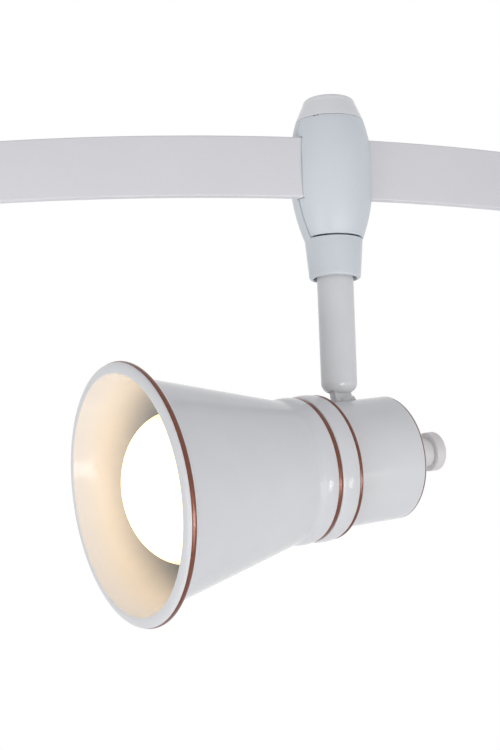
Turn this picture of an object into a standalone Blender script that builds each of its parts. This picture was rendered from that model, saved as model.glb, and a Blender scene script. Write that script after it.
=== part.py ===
"""Track spotlight: a flared lamp head that swivels on a stem under an adapter, on a length of curved rail.

Metres, +Z up. The origin is the middle of the rail's section, straight in front of the stem's axis.
+X runs along the rail, -Y is the front, where the adapter's cover comes off.
"""

import math

import bmesh
import bpy

# Fits
FIT_GAP = 0.0003  # between pieces that seat on each other
PIN_GAP = 0.0002  # round a pin that its neighbour turns on
RAIL_CLEARANCE = 0.0004  # round the rail where it runs through the adapter

# Rail: a flat band bent to a curve, with two conductors let into its back
RAIL_HEIGHT = 0.0265
RAIL_THICKNESS = 0.0040
RAIL_RADIUS = 0.413
RAIL_LEFT_ANGLE = math.radians(-20.5)
RAIL_RIGHT_ANGLE = math.radians(11.5)
RAIL_EDGE = 0.0008
GROOVE_PITCH = RAIL_HEIGHT / 2
GROOVE_HEIGHT = 0.0034
GROOVE_DEPTH = 0.0022
CONDUCTOR_THICKNESS = 0.0010

# Adapter: a barrel that closes round the rail, with a cup for the stem below it
BARREL_RADIUS = 0.01805
BARREL_CURVE = 0.082
BARREL_MIDDLE = -0.0003
SHELL_WALL = 0.002
COVER_ABOVE_RAIL = 0.0091
COVER_BELOW_RAIL = 0.0161
COVER_GAP = 0.0008
COVER_EDGE = 0.0010
STEM_BEHIND_RAIL = 0.0061  # from the middle of the rail's section to the stem's axis
TAB_THICKNESS = 0.0016
TAB_WIDTH = 0.008
TAB_REACH = 0.006
CAP_HEIGHT = 0.0102
CAP_EDGE = 0.0022
CAP_BOSS_WALL = 0.0020
CAP_SCREW_RADIUS = 0.0015
CAP_SCREW_HEAD = 0.0029
CAP_SCREW_HEAD_HEIGHT = 0.0018
CAP_SCREW_SINK = 0.0006
SCREW_SLOT = 0.0007
CUP_DEPTH = 0.0167
CUP_CLEARANCE = 0.0015
CUP_LIP_WALL = 0.0017
CUP_LIP = 0.0011
SWIVEL_ROOM = 0.0049
FLOOR_THICKNESS = 0.003
CARRIER_WIDTH = 0.016
CARRIER_MARGIN = 0.0022
BLADE_LENGTH = 0.010
BLADE_HEIGHT = 0.0020
BLADE_THICKNESS = 0.0006
BLADE_BOW = 0.0022

# Stem: a tube on a swivel bush, its closed end slotted for the tongue
STEM_RADIUS = 0.0079
STEM_WALL = 0.0016
STEM_LENGTH = 0.0580
STEM_END_ROUND = 0.004
STEM_END_WALL = 0.004
BUSH_RADIUS = 0.0049
BUSH_BORE = 0.003
BUSH_LENGTH = 0.009
RETAINER_WIDTH = 0.0026
RETAINER_THICKNESS = 0.0012
PIVOT_ABOVE_END = 0.0092
PIN_RADIUS = 0.0016
PIN_COVER = 0.0012

# Aim of the head at rest
HEAD_PAN = math.radians(15.55)
HEAD_TILT = math.radians(7.75)

# Tongue: fixed to the head, turning on the stem's pin
TONGUE_EYE = 0.004  # radius round the pin
TONGUE_FRONT = 0.0049  # edge towards the mouth, from the pin's axis
TONGUE_BACK = 0.0034
TONGUE_THICKNESS = 0.0045
SLOT_GAP = 0.0004
HEEL_LENGTH = 0.0017
HEEL_HEIGHT = 0.0019
PIVOT_TO_HOUSING = 0.0126
SHANK_RADIUS = 0.0034
WASHER_RADIUS = 0.006
WASHER_THICKNESS = 0.001
NUT_FLATS = 0.011
NUT_THICKNESS = 0.0035
SHANK_END = 0.0006

# Lamp housing and the rings on it; heights run along the lamp's axis from the tongue, towards the mouth
HOUSING_RADIUS = 0.0264
HOUSING_WALL = 0.0015
HOUSING_BACK = 0.0182
HOUSING_SHOWN = 0.0160
HOUSING_IN_SHADE = 0.004
TRIM_WIDTH = 0.0015
REAR_TRIM_STEP = 0.0042
FRONT_TRIM_STEP = 0.0040
COLLAR_WIDTH = 0.0074
COLLAR_STEP = 0.0044
COLLAR_CROWN = 0.0010
BACK_TRIM_WIDTH = 0.0005

# Shade: a spun cone with a bead at its neck and a rolled lip at its mouth
SHADE_LENGTH = 0.0792
SHADE_WALL = 0.0015
BEAD_WIDTH = 0.0074
BEAD_STEP = 0.0042
BEAD_CROWN = 0.0011
CONE_BACK_STEP = 0.00315
CONE_FRONT_STEP = 0.0197
FLARE_LENGTH = 0.0040
RIM_FLARE = 0.0061
MOUTH_FLARE = 0.0013
LIP_CREST = 0.0023
LIP_RISE = 0.0012
LIP_DEPTH = 0.0014
LIP_EDGE = 0.0004
RIM_TRIM_THICKNESS = 0.0013
SHADE_SCREW_RADIUS = 0.0010
SHADE_SCREW_HEAD = 0.0022
SHADE_SCREW_HEAD_HEIGHT = 0.0012
SHADE_SCREW_BITE = 0.0026
SHADE_SCREW_COUNT = 3

# Reflector lamp with a screw cap
LAMP_RADIUS = 0.0308
LAMP_DOME = 0.022
LAMP_SETBACK = 0.0023
LAMP_LENGTH = 0.096
LAMP_NECK_AT = 0.026
LAMP_WALL = 0.001
LAMP_CAP_RADIUS = 0.0132
LAMP_CAP_WALL = 0.0006
LAMP_CAP_HEIGHT = 0.022
LAMP_CAP_TAPER = 0.005
LAMP_TIP_HEIGHT = 0.003
LAMP_TIP_RADIUS = 0.0028
NECK_IN_CAP = 0.009

# Lampholder, its bracket and the housing's back cover
HOLDER_CLEARANCE = 0.0008
HOLDER_GRIP = 0.0195
SCREW_SHELL_WALL = 0.0004
CONTACT_RADIUS = 0.003
CONTACT_HEIGHT = 0.0024
RIVET_RADIUS = 0.0023
RIVET_HEAD = 0.004
RIVET_HEAD_HEIGHT = 0.0012
RIVET_REACH = 0.006
BRACKET_WIDTH = 0.014
BRACKET_THICKNESS = 0.0015
BRACKET_EAR = 0.009
SPIGOT_DEPTH = 0.004
BACK_EDGE_STEP = 0.0004
BACK_DOME = 0.0075
BACK_WALL = 0.0015
BACK_SCREW_RADIUS = 0.0014
BACK_SCREW_HEAD = 0.0026
BACK_SCREW_HEAD_HEIGHT = 0.0014
BACK_SCREW_SINK = 0.0004
BACK_LAND_WALL = 0.0012

# Switch behind the back cover, with its knob
SWITCH_RADIUS = 0.0085
SWITCH_DEPTH = 0.0072
SWITCH_BUSH_RADIUS = 0.004
COLLAR_SLEEVE_RADIUS = 0.0063
COLLAR_SLEEVE_LENGTH = 0.0116
SPINDLE_RADIUS = 0.0025
KNOB_RADIUS = 0.0085
KNOB_LENGTH = 0.0052
KNOB_EDGE = 0.0014
KNOB_FRONT_EDGE = 0.0005
KNOB_END_WALL = 0.0018

# Facets
ROUND = 32
MID_ROUND = 24
SMALL_ROUND = 12
RAIL_STEPS = 16
WELD = 1e-6

# Heights of the adapter and the stem
CAP_SEAM = RAIL_HEIGHT / 2 + COVER_ABOVE_RAIL
CAP_TOP = CAP_SEAM + CAP_HEIGHT
BODY_TOP = CAP_SEAM - FIT_GAP
COVER_BOTTOM = -RAIL_HEIGHT / 2 - COVER_BELOW_RAIL
CUP_TOP = COVER_BOTTOM - COVER_GAP
CUP_BOTTOM = CUP_TOP - CUP_DEPTH
CUP_BORE = STEM_RADIUS + CUP_CLEARANCE
FLOOR_TOP = CUP_TOP - SWIVEL_ROOM
FLOOR_BOTTOM = FLOOR_TOP - FLOOR_THICKNESS
STEM_TOP = FLOOR_BOTTOM - FIT_GAP
STEM_BOTTOM = STEM_TOP - STEM_LENGTH
STEM_BORE = STEM_RADIUS - STEM_WALL
PIVOT_HEIGHT = STEM_BOTTOM + PIVOT_ABOVE_END
SLOT_FRONT = TONGUE_FRONT + SLOT_GAP
SLOT_TOP = TONGUE_EYE + SLOT_GAP  # from the pin's axis
RAIL_BACK = RAIL_THICKNESS / 2 - STEM_BEHIND_RAIL  # from the stem's axis, as is the seam
SEAM_PLANE = RAIL_BACK

# Places along the lamp's axis
AXIS_DROP = PIVOT_TO_HOUSING + HOUSING_RADIUS
HOUSING_BORE = HOUSING_RADIUS - HOUSING_WALL
RING_BORE = HOUSING_RADIUS + FIT_GAP
REAR_TRIM_AT = HOUSING_SHOWN
COLLAR_AT = REAR_TRIM_AT + TRIM_WIDTH + FIT_GAP
FRONT_TRIM_AT = COLLAR_AT + COLLAR_WIDTH + FIT_GAP
SHADE_BACK = FRONT_TRIM_AT + TRIM_WIDTH + FIT_GAP
HOUSING_FRONT = SHADE_BACK + HOUSING_IN_SHADE
RIM_AT = SHADE_BACK + SHADE_LENGTH
CONE_FRONT_RADIUS = HOUSING_RADIUS + CONE_FRONT_STEP
RIM_RADIUS = CONE_FRONT_RADIUS + RIM_FLARE
CONE_END = RIM_AT - TRIM_WIDTH - FLARE_LENGTH
LAMP_FRONT = RIM_AT - LAMP_SETBACK
LAMP_TIP_AT = LAMP_FRONT - LAMP_LENGTH
COVER_SEAT = -HOUSING_BACK - BACK_TRIM_WIDTH - 2 * FIT_GAP
BRACKET_BACK = COVER_SEAT + SPIGOT_DEPTH + FIT_GAP
BRACKET_FRONT = BRACKET_BACK + BRACKET_THICKNESS
BACK_APEX = COVER_SEAT - BACK_DOME
BACK_RADIUS = HOUSING_RADIUS - BACK_EDGE_STEP
COLLAR_SLEEVE_AT = BACK_APEX - FIT_GAP
COLLAR_SLEEVE_END = COLLAR_SLEEVE_AT - COLLAR_SLEEVE_LENGTH
KNOB_FRONT = COLLAR_SLEEVE_END - FIT_GAP
KNOB_END = KNOB_FRONT - KNOB_LENGTH

# Radii inside the housing, from its wall to the lampholder
WASHER_SEAT = math.sqrt(HOUSING_BORE**2 - WASHER_RADIUS**2) - FIT_GAP
NUT_SEAT = WASHER_SEAT - WASHER_THICKNESS - FIT_GAP
SHANK_TIP = NUT_SEAT - NUT_THICKNESS - SHANK_END
HOLDER_RADIUS = SHANK_TIP - HOLDER_CLEARANCE
SCREW_SHELL_BORE = LAMP_CAP_RADIUS + FIT_GAP
SCREW_SHELL_RADIUS = SCREW_SHELL_BORE + SCREW_SHELL_WALL
HOLDER_BORE = SCREW_SHELL_RADIUS + FIT_GAP


def clear_scene():
    for obj in list(bpy.data.objects):
        bpy.data.objects.remove(obj, do_unlink=True)


def finish(name, color, roughness, metallic=0.0):
    """A plain material of one colour."""
    material = bpy.data.materials.new(name)
    material.use_nodes = True
    shader = material.node_tree.nodes["Principled BSDF"]
    shader.inputs["Base Color"].default_value = (*color, 1.0)
    shader.inputs["Roughness"].default_value = roughness
    shader.inputs["Metallic"].default_value = metallic
    material.diffuse_color = (*color, 1.0)
    return material


def spaced(first, last, steps):
    """Evenly spaced numbers from first to last, both included."""
    return [first + (last - first) * i / steps for i in range(steps + 1)]


def oval(center, across, along, start, end, steps):
    """Points on an ellipse round a (radius, height) centre, between two angles in degrees."""
    turns = [math.radians(angle) for angle in spaced(start, end, steps)]
    return [(center[0] + across * math.cos(t), center[1] + along * math.sin(t)) for t in turns]


def empty(name, parent=None, location=(0, 0, 0), rotation=(0, 0, 0)):
    frame = bpy.data.objects.new(name, None)
    bpy.context.scene.collection.objects.link(frame)
    return placed(frame, parent, location, rotation)


def placed(obj, parent, location=(0, 0, 0), rotation=(0, 0, 0)):
    obj.parent = parent
    obj.location = location
    obj.rotation_euler = rotation
    return obj


def solid(name, mesh_in_progress, material):
    """An object from a bmesh, its faces turned outwards and its round sides shaded smooth."""
    bmesh.ops.recalc_face_normals(mesh_in_progress, faces=mesh_in_progress.faces[:])
    mesh = bpy.data.meshes.new(name)
    mesh_in_progress.to_mesh(mesh)
    mesh_in_progress.free()
    mesh.shade_smooth()
    mesh.set_sharp_from_angle(angle=math.radians(35))
    obj = bpy.data.objects.new(name, mesh)
    bpy.context.scene.collection.objects.link(obj)
    if material:
        mesh.materials.append(material)
    return obj


def turned(name, outline, material, segments=ROUND):
    """A solid turned about local Z from (radius, height) points; an outline off the axis is closed."""
    bm = bmesh.new()
    points = [bm.verts.new((radius, 0.0, height)) for radius, height in outline]
    on_axis = outline[0][0] == 0 and outline[-1][0] == 0
    sides = [bm.edges.new(pair) for pair in zip(points, points[1:])]
    if not on_axis:
        sides.append(bm.edges.new((points[-1], points[0])))
    bmesh.ops.spin(
        bm,
        geom=points + sides,
        cent=(0, 0, 0),
        axis=(0, 0, 1),
        angle=math.tau,
        steps=segments,
        use_merge=True,
    )
    bmesh.ops.remove_doubles(bm, verts=bm.verts[:], dist=WELD)
    return solid(name, bm, material)


def rod(name, radius, bottom, top, material, segments=SMALL_ROUND):
    return turned(name, [(0, top), (radius, top), (radius, bottom), (0, bottom)], material, segments)


def ring(name, bore, radius, bottom, top, material, segments=ROUND):
    return turned(name, [(bore, top), (radius, top), (radius, bottom), (bore, bottom)], material, segments)


def plate(name, outline, axis, low, high, material):
    """A flat outline pushed out along one local axis (0, 1 or 2) from low to high."""
    bm = bmesh.new()
    corners = []
    for first, second in outline:
        corner = [first, second]
        corner.insert(axis, low)
        corners.append(bm.verts.new(corner))
    face = bm.faces.new(corners)
    pushed = bmesh.ops.extrude_face_region(bm, geom=[face], use_keep_orig=True)
    step = [0.0, 0.0, 0.0]
    step[axis] = high - low
    moved = [item for item in pushed["geom"] if isinstance(item, bmesh.types.BMVert)]
    bmesh.ops.translate(bm, verts=moved, vec=step)
    return solid(name, bm, material)


def block(name, low, high, material):
    corners = [(low[0], low[1]), (high[0], low[1]), (high[0], high[1]), (low[0], high[1])]
    return plate(name, corners, 2, low[2], high[2], material)


def bent(name, section, start, end, steps, material):
    """A section of (offset, height) points swept about the rail's centre, from one angle to another."""
    bm = bmesh.new()
    points = []
    for offset, height in section:
        out = RAIL_RADIUS + offset
        points.append(bm.verts.new((out * math.sin(start), -out * math.cos(start), height)))
    sides = [bm.edges.new((points[i - 1], points[i])) for i in range(len(points))]
    bmesh.ops.spin(
        bm, geom=points + sides, cent=(0, 0, 0), axis=(0, 0, 1), angle=end - start, steps=steps
    )
    bmesh.ops.holes_fill(bm, edges=bm.edges[:], sides=0)
    return solid(name, bm, material)


def shaped(target, helper, operation="DIFFERENCE"):
    """Cuts, joins or crops a piece with a helper that is left out of the model itself."""
    helper.hide_render = True
    helper.display_type = "WIRE"
    step = target.modifiers.new(helper.name, "BOOLEAN")
    step.operation = operation
    step.solver = "EXACT"
    step.object = helper
    return target


def barrel_radius(height, inset=0.0):
    """The barrel's radius at a height, less an inset."""
    rise = height - BARREL_MIDDLE
    return BARREL_RADIUS - inset - BARREL_CURVE + math.sqrt(BARREL_CURVE**2 - rise**2)


def barrel_side(top, bottom, inset=0.0, steps=6):
    return [(barrel_radius(height, inset), height) for height in spaced(top, bottom, steps)]


def rail_section():
    """The band's section: a rounded front, and a back with a groove for each conductor."""
    front = RAIL_THICKNESS / 2
    top = RAIL_HEIGHT / 2
    turn = RAIL_EDGE
    upper = oval((front - turn, top - turn), turn, turn, 90, 0, 2)
    lower = oval((front - turn, turn - top), turn, turn, 0, -90, 2)
    section = upper + lower + oval((turn - front, turn - top), turn, turn, -90, -180, 2)
    for middle in (-GROOVE_PITCH / 2, GROOVE_PITCH / 2):
        low = middle - GROOVE_HEIGHT / 2
        high = middle + GROOVE_HEIGHT / 2
        section += [(-front, low), (GROOVE_DEPTH - front, low), (GROOVE_DEPTH - front, high), (-front, high)]
    return section + oval((turn - front, top - turn), turn, turn, 180, 90, 2)


def make_rail(parent, paint, copper):
    placed(bent("rail_band", rail_section(), RAIL_LEFT_ANGLE, RAIL_RIGHT_ANGLE, RAIL_STEPS, paint), parent)
    inner = GROOVE_DEPTH - RAIL_THICKNESS / 2 - FIT_GAP
    for name, middle in (("lower", -GROOVE_PITCH / 2), ("upper", GROOVE_PITCH / 2)):
        low = middle - GROOVE_HEIGHT / 2 + FIT_GAP
        high = middle + GROOVE_HEIGHT / 2 - FIT_GAP
        outer = inner - CONDUCTOR_THICKNESS
        section = [(outer, low), (inner, low), (inner, high), (outer, high)]
        strip = bent(f"rail_conductor_{name}", section, RAIL_LEFT_ANGLE, RAIL_RIGHT_ANGLE, RAIL_STEPS, copper)
        placed(strip, parent)


def rail_room(name):
    """A cutter with the rail's curve and section, larger by the clearance."""
    front = RAIL_THICKNESS / 2 + RAIL_CLEARANCE
    side = RAIL_HEIGHT / 2 + RAIL_CLEARANCE
    section = [(-front, -side), (front, -side), (front, side), (-front, side)]
    sweep = 2 * BARREL_RADIUS / RAIL_RADIUS
    return bent(name, section, -sweep, sweep, 8, None)


def adapter_body(parent, travel_axis, plastic):
    """The back shell and the cup below it, open at the front, where the rail lies against it."""
    cup_wall = barrel_radius(CUP_TOP, SHELL_WALL)
    mouth = CUP_BORE + CUP_LIP_WALL
    lip_center = (mouth - CUP_LIP, CUP_BOTTOM + CUP_LIP)
    bush_hole = BUSH_RADIUS + PIN_GAP
    outline = [(0, BODY_TOP)] + barrel_side(BODY_TOP, CUP_TOP)
    outline += oval(lip_center, CUP_LIP, CUP_LIP, 0, -90, 3)
    outline += [(CUP_BORE, CUP_BOTTOM), (CUP_BORE, FLOOR_BOTTOM), (bush_hole, FLOOR_BOTTOM)]
    outline += [(bush_hole, FLOOR_TOP), (cup_wall, FLOOR_TOP)]
    outline += barrel_side(CUP_TOP, BODY_TOP - SHELL_WALL, SHELL_WALL) + [(0, BODY_TOP - SHELL_WALL)]
    body = placed(turned("adapter_body", outline, plastic), parent)

    reach = 2 * BARREL_RADIUS
    front = block(
        "front_opening_cutter", (-reach, -reach, CUP_TOP), (reach, SEAM_PLANE + FIT_GAP / 2, CAP_TOP), None
    )
    shaped(body, placed(front, parent))
    shaped(body, placed(rail_room("rail_channel_cutter"), travel_axis))
    hole = rod("cap_screw_hole_cutter", CAP_SCREW_RADIUS + PIN_GAP, BODY_TOP - 2 * SHELL_WALL, CAP_TOP, None)
    shaped(body, placed(hole, parent))
    return body


def top_cap(parent, paint):
    """A hollow cap that carries on the barrel's line, with a sunk hole for its screw."""
    shoulder = CAP_TOP - CAP_EDGE
    edge_radius = barrel_radius(shoulder)
    screw_hole = CAP_SCREW_RADIUS + PIN_GAP
    head_hole = CAP_SCREW_HEAD + FIT_GAP
    head_seat = CAP_TOP - CAP_SCREW_SINK - CAP_SCREW_HEAD_HEIGHT - FIT_GAP
    boss = head_hole + CAP_BOSS_WALL
    outline = [(screw_hole, CAP_SEAM), (screw_hole, head_seat), (head_hole, head_seat), (head_hole, CAP_TOP)]
    outline += oval((edge_radius - CAP_EDGE, shoulder), CAP_EDGE, CAP_EDGE, 90, 0, 3)
    outline += barrel_side(shoulder, CAP_SEAM, steps=3)[1:]
    outline += [(barrel_radius(CAP_SEAM, SHELL_WALL), CAP_SEAM)]
    outline += [(barrel_radius(shoulder, SHELL_WALL), shoulder), (boss, shoulder), (boss, CAP_SEAM)]
    placed(turned("adapter_top_cap", outline, paint), parent)


def cap_screw(parent, steel):
    top = CAP_TOP - CAP_SCREW_SINK
    seat = top - CAP_SCREW_HEAD_HEIGHT
    end = BODY_TOP - SHELL_WALL
    outline = [(0, top), (CAP_SCREW_HEAD, top), (CAP_SCREW_HEAD, seat)]
    outline += [(CAP_SCREW_RADIUS, seat), (CAP_SCREW_RADIUS, end), (0, end)]
    screw = placed(turned("cap_screw", outline, steel, SMALL_ROUND), parent)
    depth = top - CAP_SCREW_HEAD_HEIGHT / 2
    slot = block(
        "cap_screw_slot_cutter",
        (-2 * CAP_SCREW_HEAD, -SCREW_SLOT / 2, depth),
        (2 * CAP_SCREW_HEAD, SCREW_SLOT / 2, CAP_TOP),
        None,
    )
    shaped(screw, placed(slot, parent))


def front_cover(parent, travel_axis, plastic):
    """The front of the barrel, notched to hold the rail, with two tabs that reach into the back shell."""
    top = BODY_TOP
    low = COVER_BOTTOM
    corner = low + COVER_EDGE
    edge_center = (barrel_radius(corner) - COVER_EDGE, corner)
    outline = [(0, top)] + barrel_side(top, corner) + oval(edge_center, COVER_EDGE, COVER_EDGE, 0, -90, 3)[1:]
    cover = placed(turned("adapter_front_cover", outline + [(0, low)], plastic), parent)
    reach = 2 * BARREL_RADIUS
    behind = block(
        "cover_back_cutter", (-reach, SEAM_PLANE - FIT_GAP / 2, 2 * low), (reach, reach, CAP_TOP), None
    )
    shaped(cover, placed(behind, parent))
    inner_top = top - SHELL_WALL
    inner_low = low + SHELL_WALL
    hollow = [(0, inner_top)] + barrel_side(inner_top, inner_low, SHELL_WALL) + [(0, inner_low)]
    shaped(cover, placed(turned("cover_hollow_cutter", hollow, None), parent))

    shaped(cover, placed(rail_room("rail_notch_cutter"), travel_axis))

    back = SEAM_PLANE + TAB_REACH
    root = SEAM_PLANE - 2 * SHELL_WALL
    tab_top = BODY_TOP - SHELL_WALL - FIT_GAP
    tab_low = tab_top - TAB_THICKNESS
    in_wall = BODY_TOP - SHELL_WALL / 2
    stop = SEAM_PLANE - FIT_GAP
    upper = [(root, tab_low), (back, tab_low), (back, tab_top), (stop, tab_top)]
    upper += [(stop, in_wall), (root, in_wall)]
    floor = low + SHELL_WALL / 4
    roof = floor + TAB_THICKNESS
    lower = [(root, floor), (back, floor), (back, roof), (root, roof)]
    for name, tab in (("upper", upper), ("lower", lower)):
        helper = plate(f"cover_tab_{name}", tab, 0, -TAB_WIDTH / 2, TAB_WIDTH / 2, None)
        shaped(cover, placed(helper, parent), "UNION")


def contacts(parent, insulation, copper):
    """A block behind the rail that fits the back shell, with a sprung blade for each conductor."""
    face = RAIL_BACK + RAIL_CLEARANCE + FIT_GAP
    half = RAIL_HEIGHT / 2 - CARRIER_MARGIN
    carrier = block(
        "contact_carrier",
        (-CARRIER_WIDTH / 2, face, -half),
        (CARRIER_WIDTH / 2, BARREL_RADIUS, half),
        insulation,
    )
    placed(carrier, parent)
    inset = SHELL_WALL + FIT_GAP
    room = [(0, 2 * half)] + barrel_side(2 * half, -2 * half, inset) + [(0, -2 * half)]
    shaped(carrier, placed(turned("carrier_room", room, None), parent), "INTERSECT")

    conductor = RAIL_BACK - GROOVE_DEPTH + FIT_GAP + CONDUCTOR_THICKNESS
    nose = conductor + FIT_GAP
    ends = spaced(-BLADE_LENGTH / 2, BLADE_LENGTH / 2, 10)
    bow = [(x, nose + BLADE_BOW * (2 * x / BLADE_LENGTH) ** 2) for x in ends]
    outline = bow + [(x, y + BLADE_THICKNESS) for x, y in reversed(bow)]
    slot_end = BLADE_LENGTH / 2 + FIT_GAP
    slot_depth = nose + BLADE_BOW + BLADE_THICKNESS + FIT_GAP
    for name, middle in (("lower", -GROOVE_PITCH / 2), ("upper", GROOVE_PITCH / 2)):
        low = middle - BLADE_HEIGHT / 2
        high = middle + BLADE_HEIGHT / 2
        placed(plate(f"contact_blade_{name}", outline, 2, low, high, copper), parent)
        slot = block(
            f"blade_slot_cutter_{name}",
            (-slot_end, -STEM_BEHIND_RAIL, low - FIT_GAP),
            (slot_end, slot_depth, high + FIT_GAP),
            None,
        )
        shaped(carrier, placed(slot, parent))


def stem(parent, head_frame, paint, steel):
    """The tube, its swivel bush with the ring that keeps it in the cup, and the tilt pin."""
    round_center = (STEM_RADIUS - STEM_END_ROUND, STEM_BOTTOM + STEM_END_ROUND)
    bore_end = PIVOT_HEIGHT + SLOT_TOP + STEM_END_WALL
    outline = [(0, bore_end), (STEM_BORE, bore_end), (STEM_BORE, STEM_TOP)]
    outline += [(STEM_RADIUS, STEM_TOP)]
    outline += oval(round_center, STEM_END_ROUND, STEM_END_ROUND, 0, -90, 5) + [(0, STEM_BOTTOM)]
    tube = placed(turned("stem_tube", outline, paint, MID_ROUND), parent)

    across = TONGUE_THICKNESS / 2 + SLOT_GAP
    slot = block(
        "tongue_slot_cutter",
        (-2 * STEM_RADIUS, -across, STEM_BOTTOM - STEM_RADIUS - PIVOT_HEIGHT),
        (SLOT_FRONT, across, SLOT_TOP),
        None,
    )
    shaped(tube, placed(slot, head_frame))
    blind_end = STEM_RADIUS - PIN_COVER
    pin_hole = rod("pin_hole_cutter", PIN_RADIUS + PIN_GAP, -blind_end, 2 * STEM_RADIUS, None)
    across_turn = (math.radians(90), 0, 0)
    shaped(tube, placed(pin_hole, head_frame, rotation=across_turn))
    pin = rod("pivot_pin", PIN_RADIUS, FIT_GAP - blind_end, STEM_RADIUS - FIT_GAP, steel)
    placed(pin, head_frame, rotation=across_turn)

    bush_body = STEM_BORE - FIT_GAP
    shoulder = STEM_TOP - FIT_GAP
    ring_low = FLOOR_TOP + FIT_GAP
    ring_top = ring_low + RETAINER_THICKNESS
    bush_top = ring_top + RETAINER_THICKNESS
    bush_end = shoulder - BUSH_LENGTH
    bush = [(BUSH_BORE, bush_top), (BUSH_RADIUS, bush_top), (BUSH_RADIUS, shoulder), (bush_body, shoulder)]
    bush += [(bush_body, bush_end), (BUSH_BORE, bush_end)]
    placed(turned("stem_bush", bush, steel, MID_ROUND), parent)
    ring_bore = BUSH_RADIUS + PIN_GAP
    ring_edge = BUSH_RADIUS + RETAINER_WIDTH
    keeper = ring("stem_retainer", ring_bore, ring_edge, ring_low, ring_top, steel, MID_ROUND)
    placed(keeper, parent)


def tongue(parent, paint, steel):
    """The flat link from the pin to the housing, with its heel, its shank and the nut inside the housing."""
    foot = FIT_GAP - PIVOT_TO_HOUSING
    heel_top = foot + HEEL_HEIGHT
    heel_back = -TONGUE_BACK - HEEL_LENGTH
    outline = oval((0, 0), TONGUE_EYE, TONGUE_EYE, 0, 180, 10) + [(-TONGUE_BACK, -TONGUE_EYE)]
    outline += [(-TONGUE_BACK, heel_top), (heel_back + HEEL_LENGTH / 2, heel_top - HEEL_LENGTH / 4)]
    outline += [(heel_back, foot), (TONGUE_FRONT, foot), (TONGUE_FRONT, -TONGUE_EYE)]
    link = plate("swivel_tongue", outline, 1, -TONGUE_THICKNESS / 2, TONGUE_THICKNESS / 2, paint)
    placed(link, parent)
    hole = rod("tongue_pin_hole_cutter", PIN_RADIUS + PIN_GAP, -TONGUE_THICKNESS, TONGUE_THICKNESS, None)
    shaped(link, placed(hole, parent, rotation=(math.radians(90), 0, 0)))
    shank = rod("tongue_shank", SHANK_RADIUS, SHANK_TIP - AXIS_DROP, foot + HEEL_HEIGHT / 2, None)
    shaped(link, placed(shank, parent), "UNION")

    bore = SHANK_RADIUS + FIT_GAP
    washer_top = WASHER_SEAT - AXIS_DROP
    washer_low = washer_top - WASHER_THICKNESS
    washer = ring("tongue_washer", bore, WASHER_RADIUS, washer_low, washer_top, steel, SMALL_ROUND)
    placed(washer, parent)
    nut_top = NUT_SEAT - AXIS_DROP
    corner = NUT_FLATS / math.sqrt(3)
    nut = rod("tongue_nut", corner, nut_top - NUT_THICKNESS, nut_top, steel, 6)
    nut_hole = rod("nut_hole_cutter", bore, -AXIS_DROP, 0.0, None)
    shaped(placed(nut, parent), placed(nut_hole, parent))


def screw_seats():
    """The shade screws' directions round the lamp's axis, in radians."""
    return [math.tau * (index + 0.5) / SHADE_SCREW_COUNT for index in range(SHADE_SCREW_COUNT)]


def housing_and_rings(lamp_axis, head_frame, paint, copper):
    """The tube that the rings and the shade slide onto, white and copper rings in turn."""
    housing = ring("lamp_housing", HOUSING_BORE, HOUSING_RADIUS, -HOUSING_BACK, HOUSING_FRONT, paint)
    placed(housing, lamp_axis)
    shank_hole = rod("shank_hole_cutter", SHANK_RADIUS + FIT_GAP, -AXIS_DROP, 0.0, None)
    shaped(housing, placed(shank_hole, head_frame))

    rear = HOUSING_RADIUS + REAR_TRIM_STEP
    front = HOUSING_RADIUS + FRONT_TRIM_STEP
    rear_end = REAR_TRIM_AT + TRIM_WIDTH
    front_end = FRONT_TRIM_AT + TRIM_WIDTH
    placed(ring("rear_trim_ring", RING_BORE, rear, REAR_TRIM_AT, rear_end, copper), lamp_axis)
    placed(ring("front_trim_ring", RING_BORE, front, FRONT_TRIM_AT, front_end, copper), lamp_axis)
    back_end = -HOUSING_BACK - FIT_GAP
    back_bore = HOUSING_BORE - 2 * FIT_GAP
    back_trim = ring(
        "back_trim_ring", back_bore, HOUSING_RADIUS, back_end - BACK_TRIM_WIDTH, back_end, copper
    )
    placed(back_trim, lamp_axis)

    crown_center = (HOUSING_RADIUS + COLLAR_STEP - COLLAR_CROWN, COLLAR_AT + COLLAR_WIDTH / 2)
    crown = oval(crown_center, COLLAR_CROWN, COLLAR_WIDTH / 2, 90, -90, 6)
    outline = [(RING_BORE, COLLAR_AT + COLLAR_WIDTH)] + crown + [(RING_BORE, COLLAR_AT)]
    placed(turned("collar_ring", outline, paint), lamp_axis)
    return housing


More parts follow.
